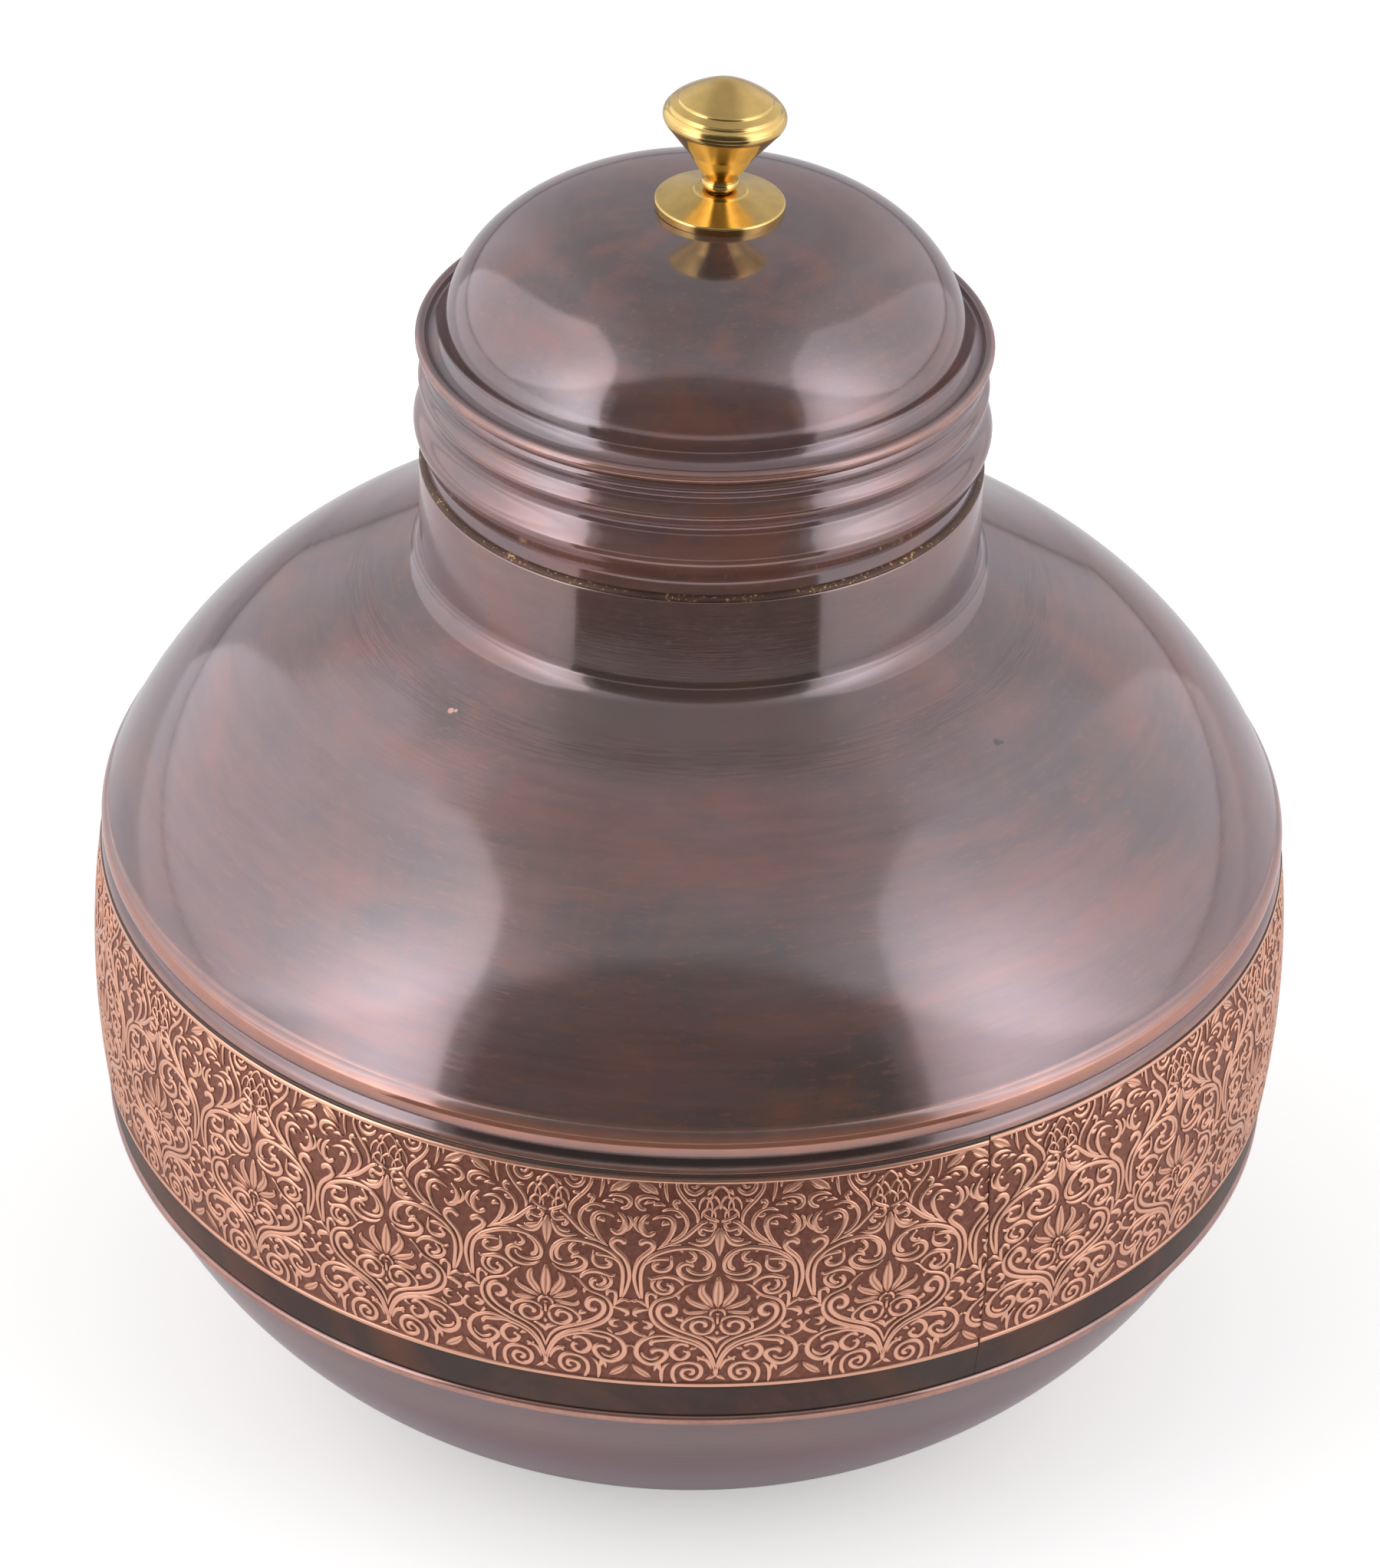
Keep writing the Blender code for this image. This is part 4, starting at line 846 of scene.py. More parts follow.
@by_name("materials", "Aged Copper")
def patina_material(name):
    """Aged copper: mottled plum-brown metal under a clear wax coat, brushed round the axis, rubbed to copper on
    its edges, bare inside. Painted shade darkens the front of the neck's foot and a painted shadow lies under the
    bead."""
    tones = bpy.context.scene.pot_finish
    material, sketch, shader = new_material(name, {
        "IOR": 2.5, "Specular Tint": (0.92, 0.845, 0.99, 1),
        "Coat Weight": 0.3, "Coat Roughness": 0.05, "Coat IOR": 1.5,
    })
    place, sweep, indoors = sketch.place(), sketch.attribute("sweep", "Vector"), sketch.attribute("inside")
    sideways, ahead, level = sketch.split(place)
    off_middle = sketch.away(sideways, 0.0)

    def ring(centre, outer, inner, most):
        """A mask round the pot: the most within the inner distance of a level, none past the outer one."""
        return sketch.ramp(sketch.away(level, centre), outer, inner, 0.0, most)

    mottle = sketch.group(mottle_group(), {
        "Vector": place, "Colour": rgba(tones.patina), "Deep": rgba(tones.patina_deep),
        "Warm": rgba(tones.patina_red), "Patch Scale": 13.0, "Warmth": 0.5,
    })
    brushing = sketch.group(brushing_group(), {"Sweep": sweep, "Lines per mm": 2.6, "Length": 5.0})
    wear = sketch.group(wear_group(), {
        "Vector": place, "Wear": sketch.attribute("wear"), "Colour": mottle["Colour"],
        "Rubbed": rgba(tones.rubbed), "Break-up Scale": 130.0,
    })
    smear = sketch.noise(sketch.stretched(sweep, (2.4, 2.4, 0.07)), 1.0, 4.0, 0.6, 0.4)
    fleck = sketch.ramp(brushing["Flecks"], 0.54, 0.72, 0.0, 0.55)
    # Painted shade: the front of the neck's foot is made darker and more metallic
    spans = zip((level, level, ahead, off_middle), PAINTED_NECK_SHADE_SPANS)
    painted_neck_shade = sketch.times(0.5, *[sketch.ramp(value, *span) for value, span in spans])
    low = sketch.ramp(level, 0.056, 0.040, 0.0, 0.8)
    # Painted shadow: a dark line under the bead, strongest at the front and back
    line = sketch.times(ring(SHADOW_LINE_LEVEL, 0.0013, 0.0005, 0.55), sketch.ramp(off_middle, 0.075, 0.035, 0.3, 1.0))
    marks = sketch.times(ring(MARK_LEVEL, 0.0030, 0.0012, 0.7), sketch.ramp(brushing["Height"], 0.46, 0.58))
    layers = [
        (sketch.ramp(smear, 0.50, 0.68, 0.0, 0.45), rgba(tones.patina_red)), (fleck, rgba(tones.patina_red)),
        (painted_neck_shade, PAINTED_NECK_SHADE), (low, LOW_BROWN), (line, PAINTED_BEAD_SHADOW), (ring(BEAD_LEVEL, 0.0026, 0.0008, 0.5), BEAD_COPPER),
        (marks, TURNING_BROWN),
    ]
    for centre, size, colour in SMALL_MARKS:
        gap = sketch.add("ShaderNodeVectorMath", {0: place, 1: centre}, operation="DISTANCE").outputs["Value"]
        layers.append((sketch.ramp(gap, size, size * 0.6), rgba(colour)))
    layers.append((indoors, rgba(tones.bare)))
    colour = sketch.toned(wear["Colour"], sketch.ramp(brushing["Streaks"], 0.3, 0.7, 0.88, 1.12))
    for mask, over in layers:
        colour = sketch.mix(mask, colour, over)
    brushed = sketch.ramp(brushing["Height"], 0.3, 0.7, 0.08, 0.14)
    dents = sketch.bump(sketch.noise(place, 28.0, 2.0, 0.45), 0.0008, 0.30)
    metal = sketch.ramp(wear["Mask"], 0.0, 1.0, 0.35, 0.70)
    sketch.fill(shader, {
        "Base Color": colour,
        "Roughness": sketch.plus(brushed, sketch.times(fleck, 0.12), sketch.times(indoors, 0.12)),
        "Metallic": sketch.math("MAXIMUM", metal, painted_neck_shade, low, line, indoors),
        "Normal": sketch.bump(brushing["Height"], 0.00003, 0.18, Normal=dents),
    })
    return material


@by_name("materials", "Etched Copper")
def etched_material(name):
    """The etched band: copper on the raised lines, dark ground between, brown on their sides, and plain aged
    copper below the lower border."""
    tones = bpy.context.scene.pot_finish
    material, sketch, shader = new_material(name, {"Metallic": 1.0, "Coat Weight": 0.12, "Coat Roughness": 0.12})
    place, relief = sketch.place(), sketch.attribute("relief")
    grain = sketch.noise(place, 900.0, 3.0, 0.6)
    blotch = sketch.math("SUBTRACT", sketch.noise(place, 90.0, 4.0, 0.6), 0.5)
    level = sketch.plus(relief, sketch.times(blotch, 0.35))
    ground = sketch.mix(sketch.ramp(grain, 0.35, 0.7), rgba(tones.relief_ground), GROUND_LIGHT)
    flank = sketch.mix(sketch.ramp(level, 0.12, 0.50), ground, RELIEF_FLANK)
    top = sketch.mix(sketch.ramp(level, 0.50, 0.86), flank, rgba(tones.relief_top))
    mottle = sketch.group(mottle_group(), {
        "Vector": place, "Colour": rgba(tones.patina_deep), "Deep": BAND_DEEP,
        "Warm": rgba(tones.patina_red), "Patch Scale": 18.0, "Warmth": 0.5,
    })
    sketch.fill(shader, {
        "Base Color": sketch.mix(sketch.attribute("plain"), top, mottle["Colour"]),
        "Roughness": sketch.ramp(relief, 0.2, 0.9, 0.55, 0.30),
        "Normal": sketch.bump(grain, 0.00006, 0.5),
    })
    return material


def bright_metal(name, colour, roughness, lines):
    """A bright metal whose lines vary its roughness over a span and its normal, with a faint cloudiness in its
    colour."""
    material, sketch, shader = new_material(name, {"Metallic": 1.0})
    cloud = sketch.noise(sketch.place(), 220.0, 4.0, 0.6)
    dark = tuple(channel * 0.82 for channel in colour)
    height = lines(sketch)
    sketch.fill(shader, {
        "Base Color": sketch.mix(sketch.ramp(cloud, 0.3, 0.7), rgba(dark), rgba(colour)),
        "Roughness": sketch.ramp(height, 0.3, 0.7, *roughness),
        "Normal": sketch.bump(height, 0.00002, 0.3),
    })
    return material


@by_name("materials", "Polished Brass")
def brass_material(name):
    """Brass with fine turning lines."""

    def turning(sketch):
        inputs = {"Sweep": sketch.attribute("sweep", "Vector"), "Lines per mm": 9.0, "Length": 3.0}
        return sketch.group(brushing_group(), inputs)["Height"]

    return bright_metal(name, bpy.context.scene.pot_finish.brass, (0.10, 0.20), turning)


@by_name("materials", "Plain Steel")
def steel_material(name):
    """Steel with a fine grain."""
    colour = bpy.context.scene.pot_finish.steel
    return bright_metal(name, colour, (0.25, 0.45), lambda sketch: sketch.noise(sketch.place(), 900.0, 4.0, 0.6))


@by_name("materials", "Aged Brazing Alloy")
def braze_material(name):
    """Brazing alloy gone dark with age, with bright specks of it left showing."""
    material, sketch, shader = new_material(name, {})
    place = sketch.place()
    fine, broad = sketch.noise(place, 1500.0, 3.0, 0.6), sketch.noise(place, 60.0, 3.0, 0.6)
    left = sketch.ramp(sketch.plus(fine, sketch.times(broad, 0.6)), 0.92, 1.00)
    dark = sketch.mix(sketch.ramp(broad, 0.3, 0.7), BRAZE_DARK, BRAZE_BROWN)
    sketch.fill(shader, {
        "Base Color": sketch.mix(left, dark, rgba(bpy.context.scene.pot_finish.braze)),
        "Roughness": sketch.ramp(fine, 0.3, 0.7, 0.32, 0.50),
        "Metallic": sketch.ramp(left, 0.0, 1.0, 0.6, 1.0),
        "Normal": sketch.bump(fine, 0.00010, 0.6),
    })
    return material


def dress(obj, material, body=None, slot=None, *replaced):
    """Gives a piece its one material and its body, and hides the CAD nodes that it stands for. Its slot is not used.
    """
    obj.data.materials.clear()
    obj.data.materials.append(material)
    if body:
        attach(obj, body)
    if replaced:
        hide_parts(*replaced)


class POT_OT_lower_bowl(bpy.types.Operator):
    """Spins the lower bowl: the lap, the bead that carries the band, the round wall and the recessed foot"""

    bl_idname = "pot.lower_bowl"
    bl_label = "Lower Bowl"

    def execute(self, context):
        lap = lap_path(BEAD_TOP + LAP_DEPTH, BEAD_TOP + CLEARANCE)
        bead = rounded([
            (*lap_path(BEAD_TOP)[0], 0), (BEAD_RADIUS, BEAD_TOP, BEAD_FILLET), (BEAD_RADIUS, BOWL_TOP, BEAD_FILLET),
            (WALL_RADIUS, BOWL_TOP, 0),
        ])
        wall = arc_between((WALL_RADIUS, BOWL_TOP), (RING_RADIUS, RING_TOP), WALL_BULGE)
        outside = joined(lap, bead, wall, rounded([(RING_RADIUS, RING_TOP, 0), *BASE]))
        inside = offset_inward(joined(lap, wall, [corner[:2] for corner in BASE]), SHEET)
        inside[-1, 0] = 0
        spots = [(BEAD_RADIUS + 0.1, BEAD_TOP - 1.2, 1.0, 1.0), (RING_RADIUS, 0.4, 1.2, 0.8)]
        bowl = shell("lower_bowl_skin", outside, inside, spots)
        dress(bowl, patina_material(), "pot", "patina_copper", "lower_bowl")
        return {"FINISHED"}


class POT_OT_shoulder(bpy.types.Operator):
    """Spins the shoulder: neck, slope, bead, the hollow strip under it, and the lap inside the band"""

    bl_idname = "pot.shoulder"
    bl_label = "Shoulder"

    def execute(self, context):
        slope = slope_path()
        foot = SHOULDER_FOOT + CREASE_RISE
        crease = (float(np.interp(-foot, -slope[:, 1], slope[:, 0])), foot)
        bead, strip = arc_between(crease, BEAD_END, BEAD_BULGE), arc_between(*STRIP_ENDS, STRIP_BULGE)
        lap = lap_path(BAND_TOP - 1.7, BAND_TOP - LAP_DEPTH)
        outside = joined(slope[slope[:, 1] > foot], bead, strip, [STRIP_TURN], lap)
        behind = [(WALL_BEHIND, SHOULDER_BEAD), (WALL_BEHIND, BAND_TOP)]
        inside = offset_inward(joined(slope, behind, lap), SHEET)
        spots = [
            (126.2, SHOULDER_BEAD + 3.2, 2.2, 0.65), (125.6, SHOULDER_BEAD + 0.4, 0.3, 0.8), (*crease, 0.4, 0.4),
            (126.35, BAND_TOP + 0.6, 1.2, 0.45), (NECK_RADIUS, NECK_TOP, 0.6, 0.3),
        ]
        shoulder = shell("shoulder_skin", outside, inside, spots)
        dress(shoulder, patina_material(), "pot", "patina_copper", "shoulder")
        return {"FINISHED"}


class POT_OT_mouth_ring(bpy.types.Operator):
    """Rolls the mouth ring: two ribs, a wired lip, and the tube let into the neck"""

    bl_idname = "pot.mouth_ring"
    bl_label = "Mouth Ring"

    def execute(self, context):
        height = np.linspace(MOUTH_TOP - NECK_TOP - 2 * LIP_ROLL - CLEARANCE, 2 * CLEARANCE, 70)
        radius = MOUTH_RADIUS + sum(rib(height, *shape[:3]) for shape in RIBS)
        wall = joined(np.column_stack([radius, NECK_TOP + height]), [(MOUTH_RADIUS, NECK_TOP - LAP_DEPTH)])
        lip = arc((LIP_RADIUS, MOUTH_TOP - LIP_ROLL), LIP_ROLL, 235, -55, 14)
        spots = [(MOUTH_RADIUS + rise, NECK_TOP + level, reach, most) for level, _, rise, reach, most in RIBS]
        spots.append((LIP_RADIUS, MOUTH_TOP, 1.4, 0.35))
        ring = shell("mouth_ring_skin", joined(lip, wall), offset_inward(wall, SHEET), spots)
        dress(ring, patina_material(), "pot", "patina_copper", "mouth_ring")
        return {"FINISHED"}


class POT_OT_band(bpy.types.Operator):
    """Rolls the band: plain edges, raised borders, the sunk ground of the pattern and the butt seam"""

    bl_idname = "pot.band"
    bl_label = "Etched Band"

    def execute(self, context):
        depth = context.scene.pot_pattern.relief / MM
        (outer_low, inner_low), (inner_high, outer_high) = BORDER_LOW, BORDER_HIGH
        # Rows of the strip, from the top: height over the pattern's level, sink, relief and plainness
        strip = [
            (outer_high + 0.16, 0.0, 0.6, 1.0), (outer_high + 0.08, 0.06, 0.3, 1.0), (outer_high, 0.0, 0.9, 0.0),
            (inner_high + 0.3, 0.0, 1.0, 0.0), (inner_high, 0.02, 0.8, 0.0), (inner_high - 0.15, depth, 0.0, 0.0),
            *[(height, depth, 0.0, 0.0) for height in np.linspace(inner_high - 0.6, inner_low + 0.6, 24)],
            (inner_low + 0.15, depth, 0.0, 0.0), (inner_low, 0.02, 0.8, 0.0), (inner_low - 0.3, 0.0, 1.0, 0.0),
            (outer_low, 0.0, 0.9, 0.0), (outer_low - 0.10, 0.08, 0.2, 1.0), (outer_low - 0.22, 0.0, 0.5, 1.0),
        ]
        # Plain rows above and below it, and up its back again: height and sink
        edge, turn = 0.4, 0.12
        above = [(BAND_TOP, edge), (BAND_TOP - turn, turn), (BAND_TOP - edge, 0.0)]
        below = [(height, 0.0) for height in (68.0, 66.0, 64.0, 62.0, BAND_BOTTOM + edge)]
        below += [(BAND_BOTTOM + turn, turn), (BAND_BOTTOM, edge)]
        below += [(height, SHEET) for height in np.linspace(BAND_BOTTOM, BAND_TOP, 7)]
        rows = [(height, sink, 0.0, 1.0, 0.0) for height, sink in above]
        rows += [(height + PATTERN_FLOOR, *row, 1.0) for height, *row in strip]
        rows += [(height, sink, 0.0, 1.0, 0.0) for height, sink in below]
        height, sink, relief, plain, drifting = np.array(rows).T[..., None]
        round_seam = np.linspace(SEAM_SLOT, 360 - SEAM_SLOT, 2 * steps_round())
        azimuth = np.concatenate([[0.0, SEAM_SLOT / 2], round_seam, [360 - SEAM_SLOT / 2]]) + SEAM_AZIMUTH
        drift = strip_drift(azimuth)[None] * drifting
        drift[:, 0] = SEAM_DRIFT / 2 * drifting[:, 0]
        gap = np.zeros(len(azimuth))
        gap[0] = SEAM_DEPTH
        gap = gap[None] * (sink < SHEET)
        points = on_band(azimuth[None], height + drift, sink + gap)
        dull = np.ones(len(azimuth))
        dull[[0, 1, -1]] = 0.0
        spread = {"relief": (relief * dull[None]).ravel(), "plain": np.broadcast_to(plain, drift.shape).ravel()}
        faces = grid_faces(len(rows), len(azimuth), True, True)
        band = mesh_object("etched_band_skin", points.reshape(-1, 3), [faces], spread)
        dress(band, etched_material(), "pot", "etched_copper", "etched_band", "band_seam_braze")
        return {"FINISHED"}


class POT_OT_pattern(bpy.types.Operator):
    """Lays the etched pattern on the band: scrolls, leaves and thistles as closed raised bars, cut off at the
    seam"""

    bl_idname = "pot.pattern"
    bl_label = "Etched Pattern"

    def execute(self, context):
        settings = context.scene.pot_pattern
        depth = settings.relief / MM
        bars, quads, caps, owner = one_repeat()
        limits = (SEAM_AZIMUTH + SEAM_CUT, SEAM_AZIMUTH + 360 - SEAM_CUT)
        at_once = settings.repeats_per_piece
        for number, first in enumerate(range(-1, REPEATS + 2, at_once)):
            points, fours, sevens, relief, count = [], [], [], [], 0
            for repeat in range(first, min(first + at_once, REPEATS + 2)):
                azimuth = strip_azimuth(repeat + bars[:, 0] / REPEAT)
                seen = (azimuth > limits[0]) & (azimuth < limits[1])
                kept = np.bincount(owner, seen)[owner] > 2
                if not kept.any():
                    continue
                azimuth = np.clip(azimuth, *limits)
                height = PATTERN_FLOOR + bars[:, 1] + strip_drift(azimuth)
                points.append(on_band(azimuth, height, depth * (1 - bars[:, 2]))[kept])
                relief.append(bars[kept, 2])
                new_number = np.cumsum(kept) - 1 + count
                fours.append(new_number[quads[kept[quads[:, 0]]]])
                sevens.append(new_number[caps[kept[caps[:, 0]]]])
                count += int(kept.sum())
            if not points:
                continue
            spread = {"relief": np.concatenate(relief), "plain": np.zeros(count)}
            faces = [np.vstack(fours), np.vstack(sevens)]
            piece = mesh_object(f"pattern_{number + 1}", np.vstack(points), faces, spread)
            dress(piece, etched_material(), "pot", "etched_copper")
        return {"FINISHED"}


class POT_OT_brazing(bpy.types.Operator):
    """Finishes the brazed joints of the sheets"""

    bl_idname = "pot.brazing"
    bl_label = "Brazed Joints"

    def execute(self, context):
        material = braze_material()
        for node in ("lower_band_braze", "upper_band_braze", "lid_braze"):
            dress(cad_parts[node], material)
        low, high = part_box("neck_braze")
        outer, base, top = high.x / MM, low.z / MM, high.z / MM
        sunk = 0.3
        fillet = joined([
            (MOUTH_RADIUS, top), (MOUTH_RADIUS + 0.32, top - 0.16), (outer - 0.25, base + 0.34),
            (outer - 0.02, base + 0.02), (outer - 0.1, base - sunk), (MOUTH_RADIUS - sunk, base - sunk),
            (MOUTH_RADIUS - sunk, top),
        ])
        ring = turned("neck_braze_skin", fillet, steps_round())
        dress(ring, material, "pot", "braze_alloy", "neck_braze")
        return {"FINISHED"}


class POT_OT_lid(bpy.types.Operator):
    """Raises the lid: the dome with its brim and rolled rim, and the skirt that centres it in the mouth"""

    bl_idname = "pot.lid"
    bl_label = "Lid"

    def execute(self, context):
        angle = np.radians(np.linspace(0, 90, 70))[:-1]
        radius = DOME_RADIUS * np.sin(angle)
        dome = np.column_stack([radius, DOME_FOOT + dome_height(radius)])
        centre = (DOME_RADIUS + BRIM_FILLET, DOME_FOOT)
        sheet = joined(dome, arc(centre, BRIM_FILLET, 180, 270, 9))
        rim = arc((RIM_RADIUS, BRIM_TOP + 0.1), RIM_ROLL, 150, -130, 14)
        inside = offset_inward(sheet, LID_SHEET)
        inside[0, 0] = 0
        spots = [(RIM_RADIUS + RIM_ROLL, BRIM_TOP, 1.3, 0.55)]
        lid = shell("lid_dome_skin", joined(sheet[:-1], rim), inside, spots)
        dress(lid, patina_material(), "lid", "patina_copper", "lid_dome")
        off_dome = LID_SHEET + CLEARANCE
        sweep = BRIM_FILLET + off_dome
        turn = math.degrees(math.acos((centre[0] - SKIRT_RADIUS) / sweep))
        top = (dome_radius(SKIRT_RISE) - off_dome, DOME_FOOT + SKIRT_RISE)
        foot = (SKIRT_RADIUS, BRIM_TOP - SKIRT_DEPTH)
        path = joined([top], arc(centre, sweep, 180, 180 + turn, 6), [foot])
        skirt = shell("lid_skirt_skin", path, offset_inward(path, SHEET), [(*foot, 1.0, 0.8)])
        dress(skirt, patina_material(), "lid", "patina_copper", "lid_skirt")
        return {"FINISHED"}


def knob_placing(offset, lean):
    """An upright axis moved right by an offset in millimetres and leaned right by an angle in degrees, its foot
    level with the dome where the rosette stands."""
    foot = Vector((offset, 0, DOME_FOOT + float(dome_height(ROSETTE_PLACE[0])))) * MM
    return Matrix.Translation(foot) @ Matrix.Rotation(math.radians(lean), 4, "Y")


class POT_OT_knob(bpy.types.Operator):
    """Turns the brass rosette and the brass knob with its stepped, low-coned crown"""

    bl_idname = "pot.knob"
    bl_label = "Knob and Rosette"

    def execute(self, context):
        steps = 160
        seat = CLEARANCE - float(dome_height(ROSETTE_PLACE[0]) - dome_height(ROSETTE_SEAT))
        rosette = rounded(ROSETTE) + np.array([0, seat])
        section = supported(joined(rosette, rosette[:1]), 0.12, 0.5)[:-1]
        ring = turned("knob_rosette_skin", section, steps, knob_placing(*ROSETTE_PLACE))
        dress(ring, brass_material(), "lid", "polished_brass", "knob_rosette")
        share = np.linspace(0, 1, 24)
        crown = np.column_stack([CROWN_RADIUS * share, CROWN_FOOT + CROWN_RISE * (1 - share**CROWN_POWER)])
        roll = arc(*KNOB_ROLL, 60, -45, 8)
        waist = rounded([(*roll[-1], 0), *KNOB_WAIST], 5)
        bead = arc(*KNOB_BEAD, 45, -90, 14)
        foot = np.array([0, seat + COLLAR + CLEARANCE])
        line = joined(crown, rounded(KNOB_STEPS), roll, waist, bead, KNOB_BORE) + foot
        knob = turned("knob_skin", supported(line, 0.12, 0.6), steps, knob_placing(*KNOB_PLACE), loop=False)
        dress(knob, brass_material(), "lid", "polished_brass", "knob")
        return {"FINISHED"}


class POT_OT_knob_screw(bpy.types.Operator):
    """Finishes the steel screw and washer that hold the knob from inside the lid"""

    bl_idname = "pot.knob_screw"
    bl_label = "Knob Screw"

    def execute(self, context):
        for node in ("knob_screw", "knob_screw_washer"):
            dress(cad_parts[node], steel_material())
        return {"FINISHED"}


def add_lamp(name, centre, across, size, power):
    """An upright rectangular lamp, its width along a level direction. It shines to the side that the cross
    product of that and the upright points away from."""
    lamp = bpy.data.lights.new(name, "AREA")
    lamp.shape = "RECTANGLE"
    lamp.size, lamp.size_y = size
    lamp.energy = power
    obj = bpy.data.objects.new(name, lamp)
    bpy.context.scene.collection.objects.link(obj)
    across, up = Vector(across), Vector((0, 0, 1))
    turn = Matrix((across, up, across.cross(up))).transposed().to_4x4()
    obj.matrix_world = Matrix.Translation(centre) @ turn
    obj.visible_camera = False
    return lamp


def outline(sketch, share, points):
    """The height share of an outline that runs through (share, height) points, read at a share."""
    node = sketch.add("ShaderNodeFloatCurve", {"Value": share})
    curve = node.mapping.curves[0]
    while len(curve.points) > 2:
        curve.points.remove(curve.points[1])
    curve.points[0].location, curve.points[1].location = points[0], points[-1]
    for point in points[1:-1]:
        curve.points.new(*point)
    for point in curve.points:
        point.handle_type = "VECTOR"
    node.mapping.update()
    return node.outputs[0]


def shape_side_lamp(lamp, front_first, bright_at, extra):
    """Cuts a side lamp to its rounded outline, leaves a dim strip before its front edge and adds a brighter
    oval spot.

    Places on it are shares of its width from the front and of its height. The spot adds its extra times a bell
    of the distance, and the light grows towards the top."""
    lamp.use_nodes = True
    lamp.node_tree.nodes.clear()
    sketch = Sketch(lamp.node_tree)
    width, height, _ = sketch.split(sketch.add("ShaderNodeNewGeometry").outputs["Parametric"])
    from_front = width if front_first else sketch.math("SUBTRACT", 1.0, width)
    over = sketch.math("SUBTRACT", height, outline(sketch, from_front, SIDE_OUTLINE))
    kept = sketch.ramp(over, 0.012, -0.012)
    strip = sketch.times(sketch.ramp(from_front, 0.10, 0.09), sketch.ramp(height, 0.60, 0.50, 0.0, STRIP_LEVEL))
    gaps = [sketch.math("SUBTRACT", value, centre) for value, centre in zip((from_front, height), bright_at)]
    falls = [sketch.times(gap, gap, -fall) for gap, fall in zip(gaps, BRIGHT_FALL)]
    bell = sketch.math("POWER", math.e, sketch.plus(*falls))
    level = sketch.plus(sketch.ramp(height, 0.52, 0.80, 1.0, 1.5), sketch.times(bell, extra))
    strength = sketch.math("MAXIMUM", strip, sketch.times(kept, level))
    emission = sketch.add("ShaderNodeEmission", {"Color": WHITE, "Strength": strength})
    sketch.add("ShaderNodeOutputLight", {"Surface": emission.outputs[0]})


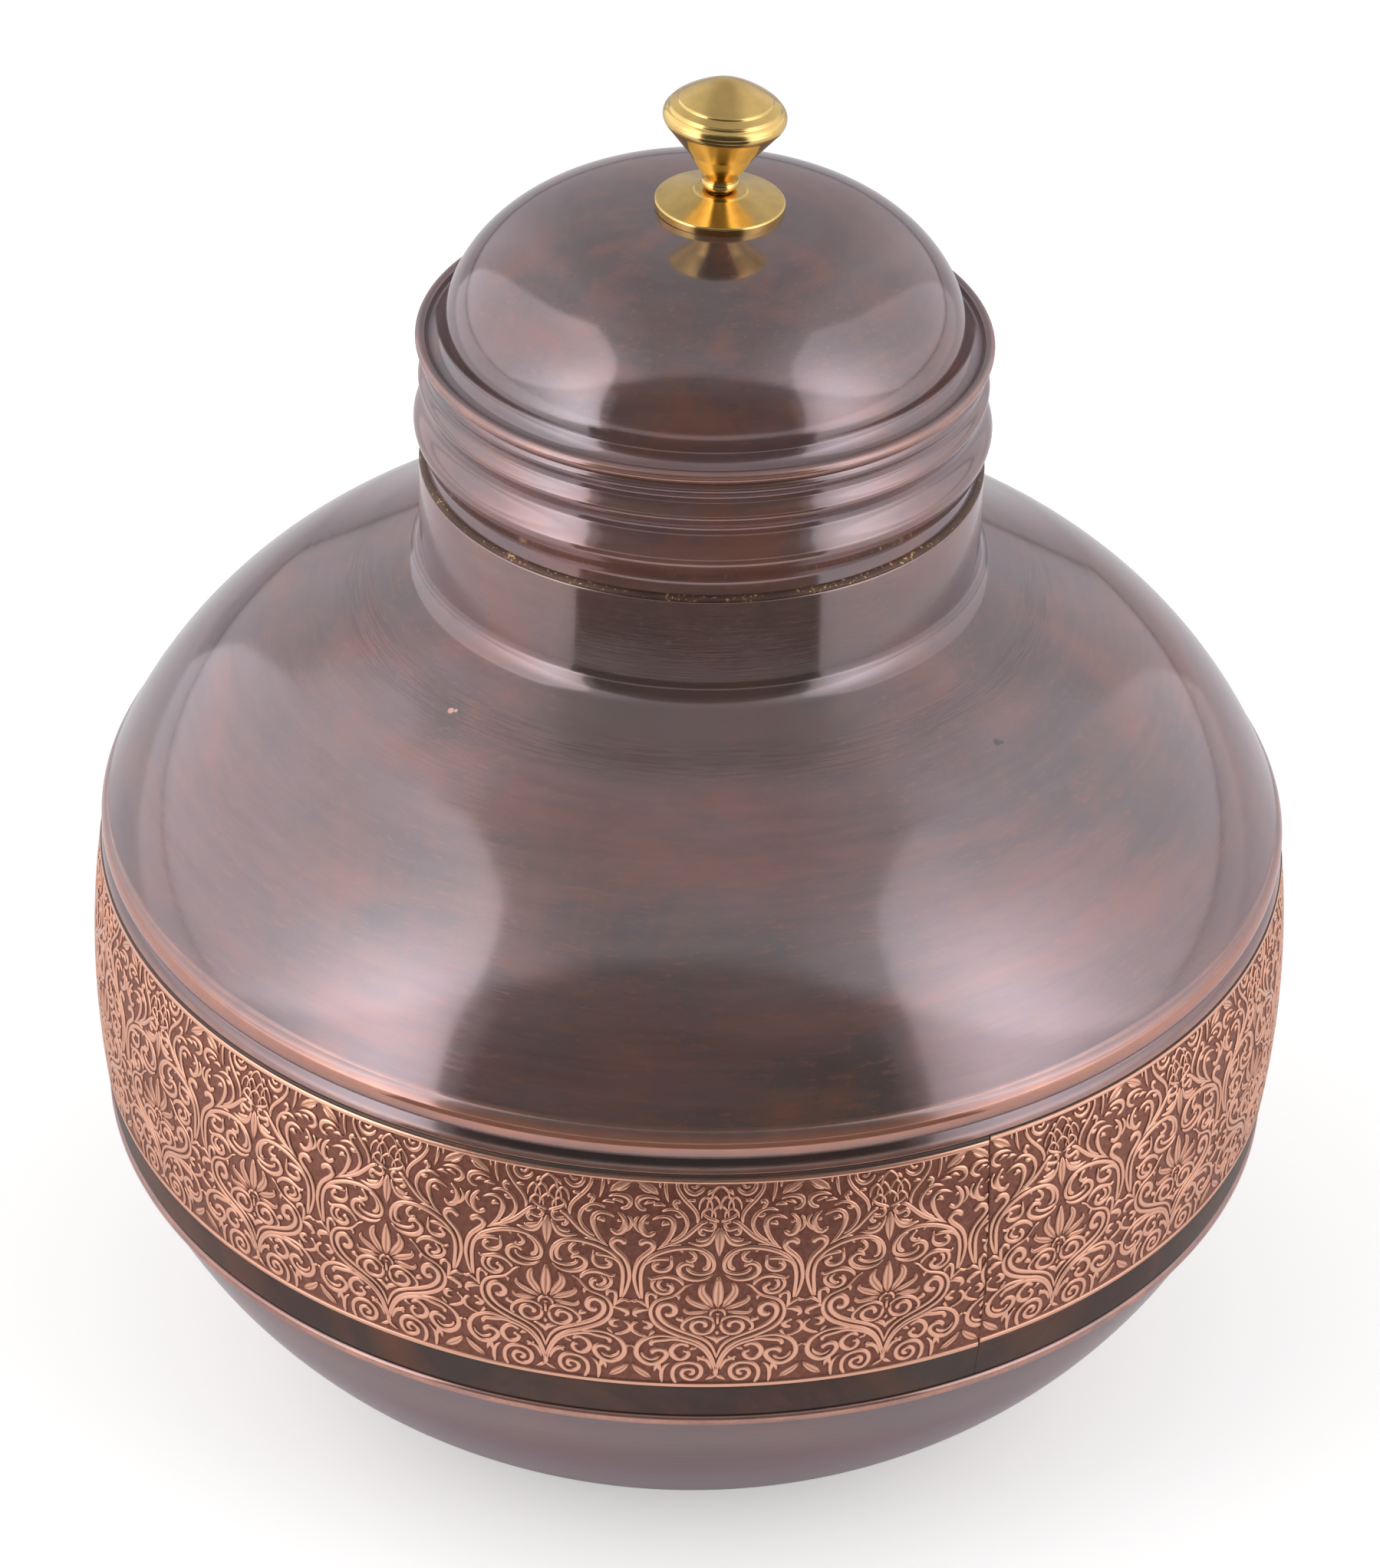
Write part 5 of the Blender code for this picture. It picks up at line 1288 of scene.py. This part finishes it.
class POT_OT_stage(bpy.types.Operator):
    """Sets the plain floor, the soft lamps, the pale surroundings and the camera"""

    bl_idname = "pot.stage"
    bl_label = "Stage"

    def execute(self, context):
        scene = context.scene
        self.floor(scene.pot_stage)
        self.dark_card()
        self.lamps(scene.pot_stage)
        self.surroundings(scene)
        self.camera(scene)
        scene.view_settings.view_transform = "Standard"
        return {"FINISHED"}

    def floor(self, settings):
        """A pale disc that glows a little for the camera, and less in reflections."""
        rim = np.concatenate([[0], np.geomspace(*FLOOR_RADII, 12)])
        floor = turned("floor", np.column_stack([rim, np.zeros(len(rim))]), 96, loop=False)
        material, sketch, shader = matte("Pale Floor", rgba(settings.floor))
        path = sketch.add("ShaderNodeLightPath").outputs
        mirrored = sketch.math("MAXIMUM", path["Is Glossy Ray"], path["Is Transmission Ray"])
        seen = sketch.math("MAXIMUM", path["Is Camera Ray"], sketch.times(mirrored, 0.12))
        glow = {"Emission Color": WHITE, "Emission Strength": sketch.times(seen, settings.floor_glow)}
        sketch.fill(shader, glow)
        floor.data.materials.append(material)

    def dark_card(self):
        """A dark card on the floor in front, seen in reflections only: a sector of a ring."""
        radius = np.linspace(*CARD_RADII, 9)[:, None]
        turn = np.radians(np.linspace(CARD_REACH, -CARD_REACH, 33))[None]
        over_floor = np.full((1, 1), 0.0005)
        points = np.stack(np.broadcast_arrays(radius * np.sin(turn), -radius * np.cos(turn), over_floor), axis=-1)
        card = mesh_object("dark_card", points.reshape(-1, 3), [grid_faces(9, 33, False, False)])
        card.data.materials.append(matte("Dark Card", CARD_BLACK)[0])
        card.visible_camera = card.visible_diffuse = card.visible_shadow = card.visible_transmission = False

    def lamps(self, settings):
        """A large soft wall of light on each side, their front edges framing a darker gap."""
        size = (LAMP_BACK + LAMP_FRONT, LAMP_TOP)
        for name, (side, share, bright_at, extra) in SIDE_LAMPS.items():
            centre = (side * LAMP_OUT, (LAMP_BACK - LAMP_FRONT) / 2, LAMP_TOP / 2)
            power = settings.side_level * share * math.pi * size[0] * size[1]
            shape_side_lamp(add_lamp(name, centre, (0, side, 0), size, power), side > 0, bright_at, extra)

    def surroundings(self, scene):
        """White to the camera. Everything else sees a dim room: darkest low in front, lighter above an arch,
        which drops with the square of the way sideways, and a little light behind."""
        world = bpy.data.worlds.new("Studio")
        scene.world = world
        world.use_nodes = True
        world.node_tree.nodes.clear()
        sketch = Sketch(world.node_tree)
        seen = sketch.add("ShaderNodeLightPath").outputs["Is Camera Ray"]
        sideways, back, up = sketch.split(sketch.place("Generated"))
        beside = sketch.times(sideways, sideways)
        rise = sketch.math("ARCTAN2", up, sketch.times(back, -1.0))
        arched = sketch.plus(rise, sketch.times(beside, ARCH_DROP))
        above = [sketch.ramp(arched, *ABOVE), sketch.ramp(arched, *OVERHEAD), sketch.ramp(beside, *BESIDE)]
        level = sketch.plus(sketch.ramp(arched, *HAZE), sketch.times(*above), sketch.ramp(back, *BEHIND))
        room, white = (
            sketch.add("ShaderNodeBackground", {"Color": WHITE, "Strength": strength}).outputs[0]
            for strength in (level, 1.0)
        )
        both = sketch.add("ShaderNodeMixShader", {0: seen, 1: room, 2: white}).outputs[0]
        sketch.add("ShaderNodeOutputWorld", {"Surface": both})

    def camera(self, scene):
        """Looks down from the front, slightly rolled, with the photograph's field of view."""
        lens = bpy.data.cameras.new("camera")
        lens.lens, lens.sensor_width = LENS, SENSOR
        lens.clip_start, lens.clip_end = 0.05, 50.0
        camera = bpy.data.objects.new("camera", lens)
        scene.collection.objects.link(camera)
        tilt = Matrix.Rotation(math.pi / 2 - math.radians(CAMERA_FALL), 4, "X")
        roll = Matrix.Rotation(math.radians(CAMERA_ROLL), 4, "Z")
        camera.matrix_world = Matrix.Translation(CAMERA_PLACE) @ tilt @ roll
        scene.camera = camera


PIECES = (
    POT_OT_lower_bowl, POT_OT_band, POT_OT_pattern, POT_OT_shoulder, POT_OT_mouth_ring, POT_OT_brazing,
    POT_OT_lid, POT_OT_knob, POT_OT_knob_screw, POT_OT_stage,
)


class POT_PT_sidebar(bpy.types.Panel):
    bl_idname = "POT_PT_sidebar"
    bl_label = "Copper Water Pot"
    bl_space_type = "VIEW_3D"
    bl_region_type = "UI"
    bl_category = "Copper Pot"

    def draw(self, context):
        for settings in (context.scene.pot_pattern, context.scene.pot_finish, context.scene.pot_stage):
            box = self.layout.box()
            for key in settings.bl_rna.properties.keys():
                if key not in ("rna_type", "name"):
                    box.prop(settings, key)
        for piece in PIECES:
            self.layout.operator(piece.bl_idname)


CLASSES = (PotPatternSettings, PotFinishSettings, PotStageSettings) + PIECES + (POT_PT_sidebar,)


def register():
    for item in CLASSES:
        bpy.utils.register_class(item)
    bpy.types.Scene.pot_pattern = bpy.props.PointerProperty(type=PotPatternSettings)
    bpy.types.Scene.pot_finish = bpy.props.PointerProperty(type=PotFinishSettings)
    bpy.types.Scene.pot_stage = bpy.props.PointerProperty(type=PotStageSettings)


def unregister():
    del bpy.types.Scene.pot_pattern, bpy.types.Scene.pot_finish, bpy.types.Scene.pot_stage
    for item in reversed(CLASSES):
        bpy.utils.unregister_class(item)


def main():
    """Builds every piece and the stage in order."""
    register()
    for piece in PIECES:
        family, action = piece.bl_idname.split(".")
        getattr(getattr(bpy.ops, family), action)()


if __name__ == "__main__":
    main()
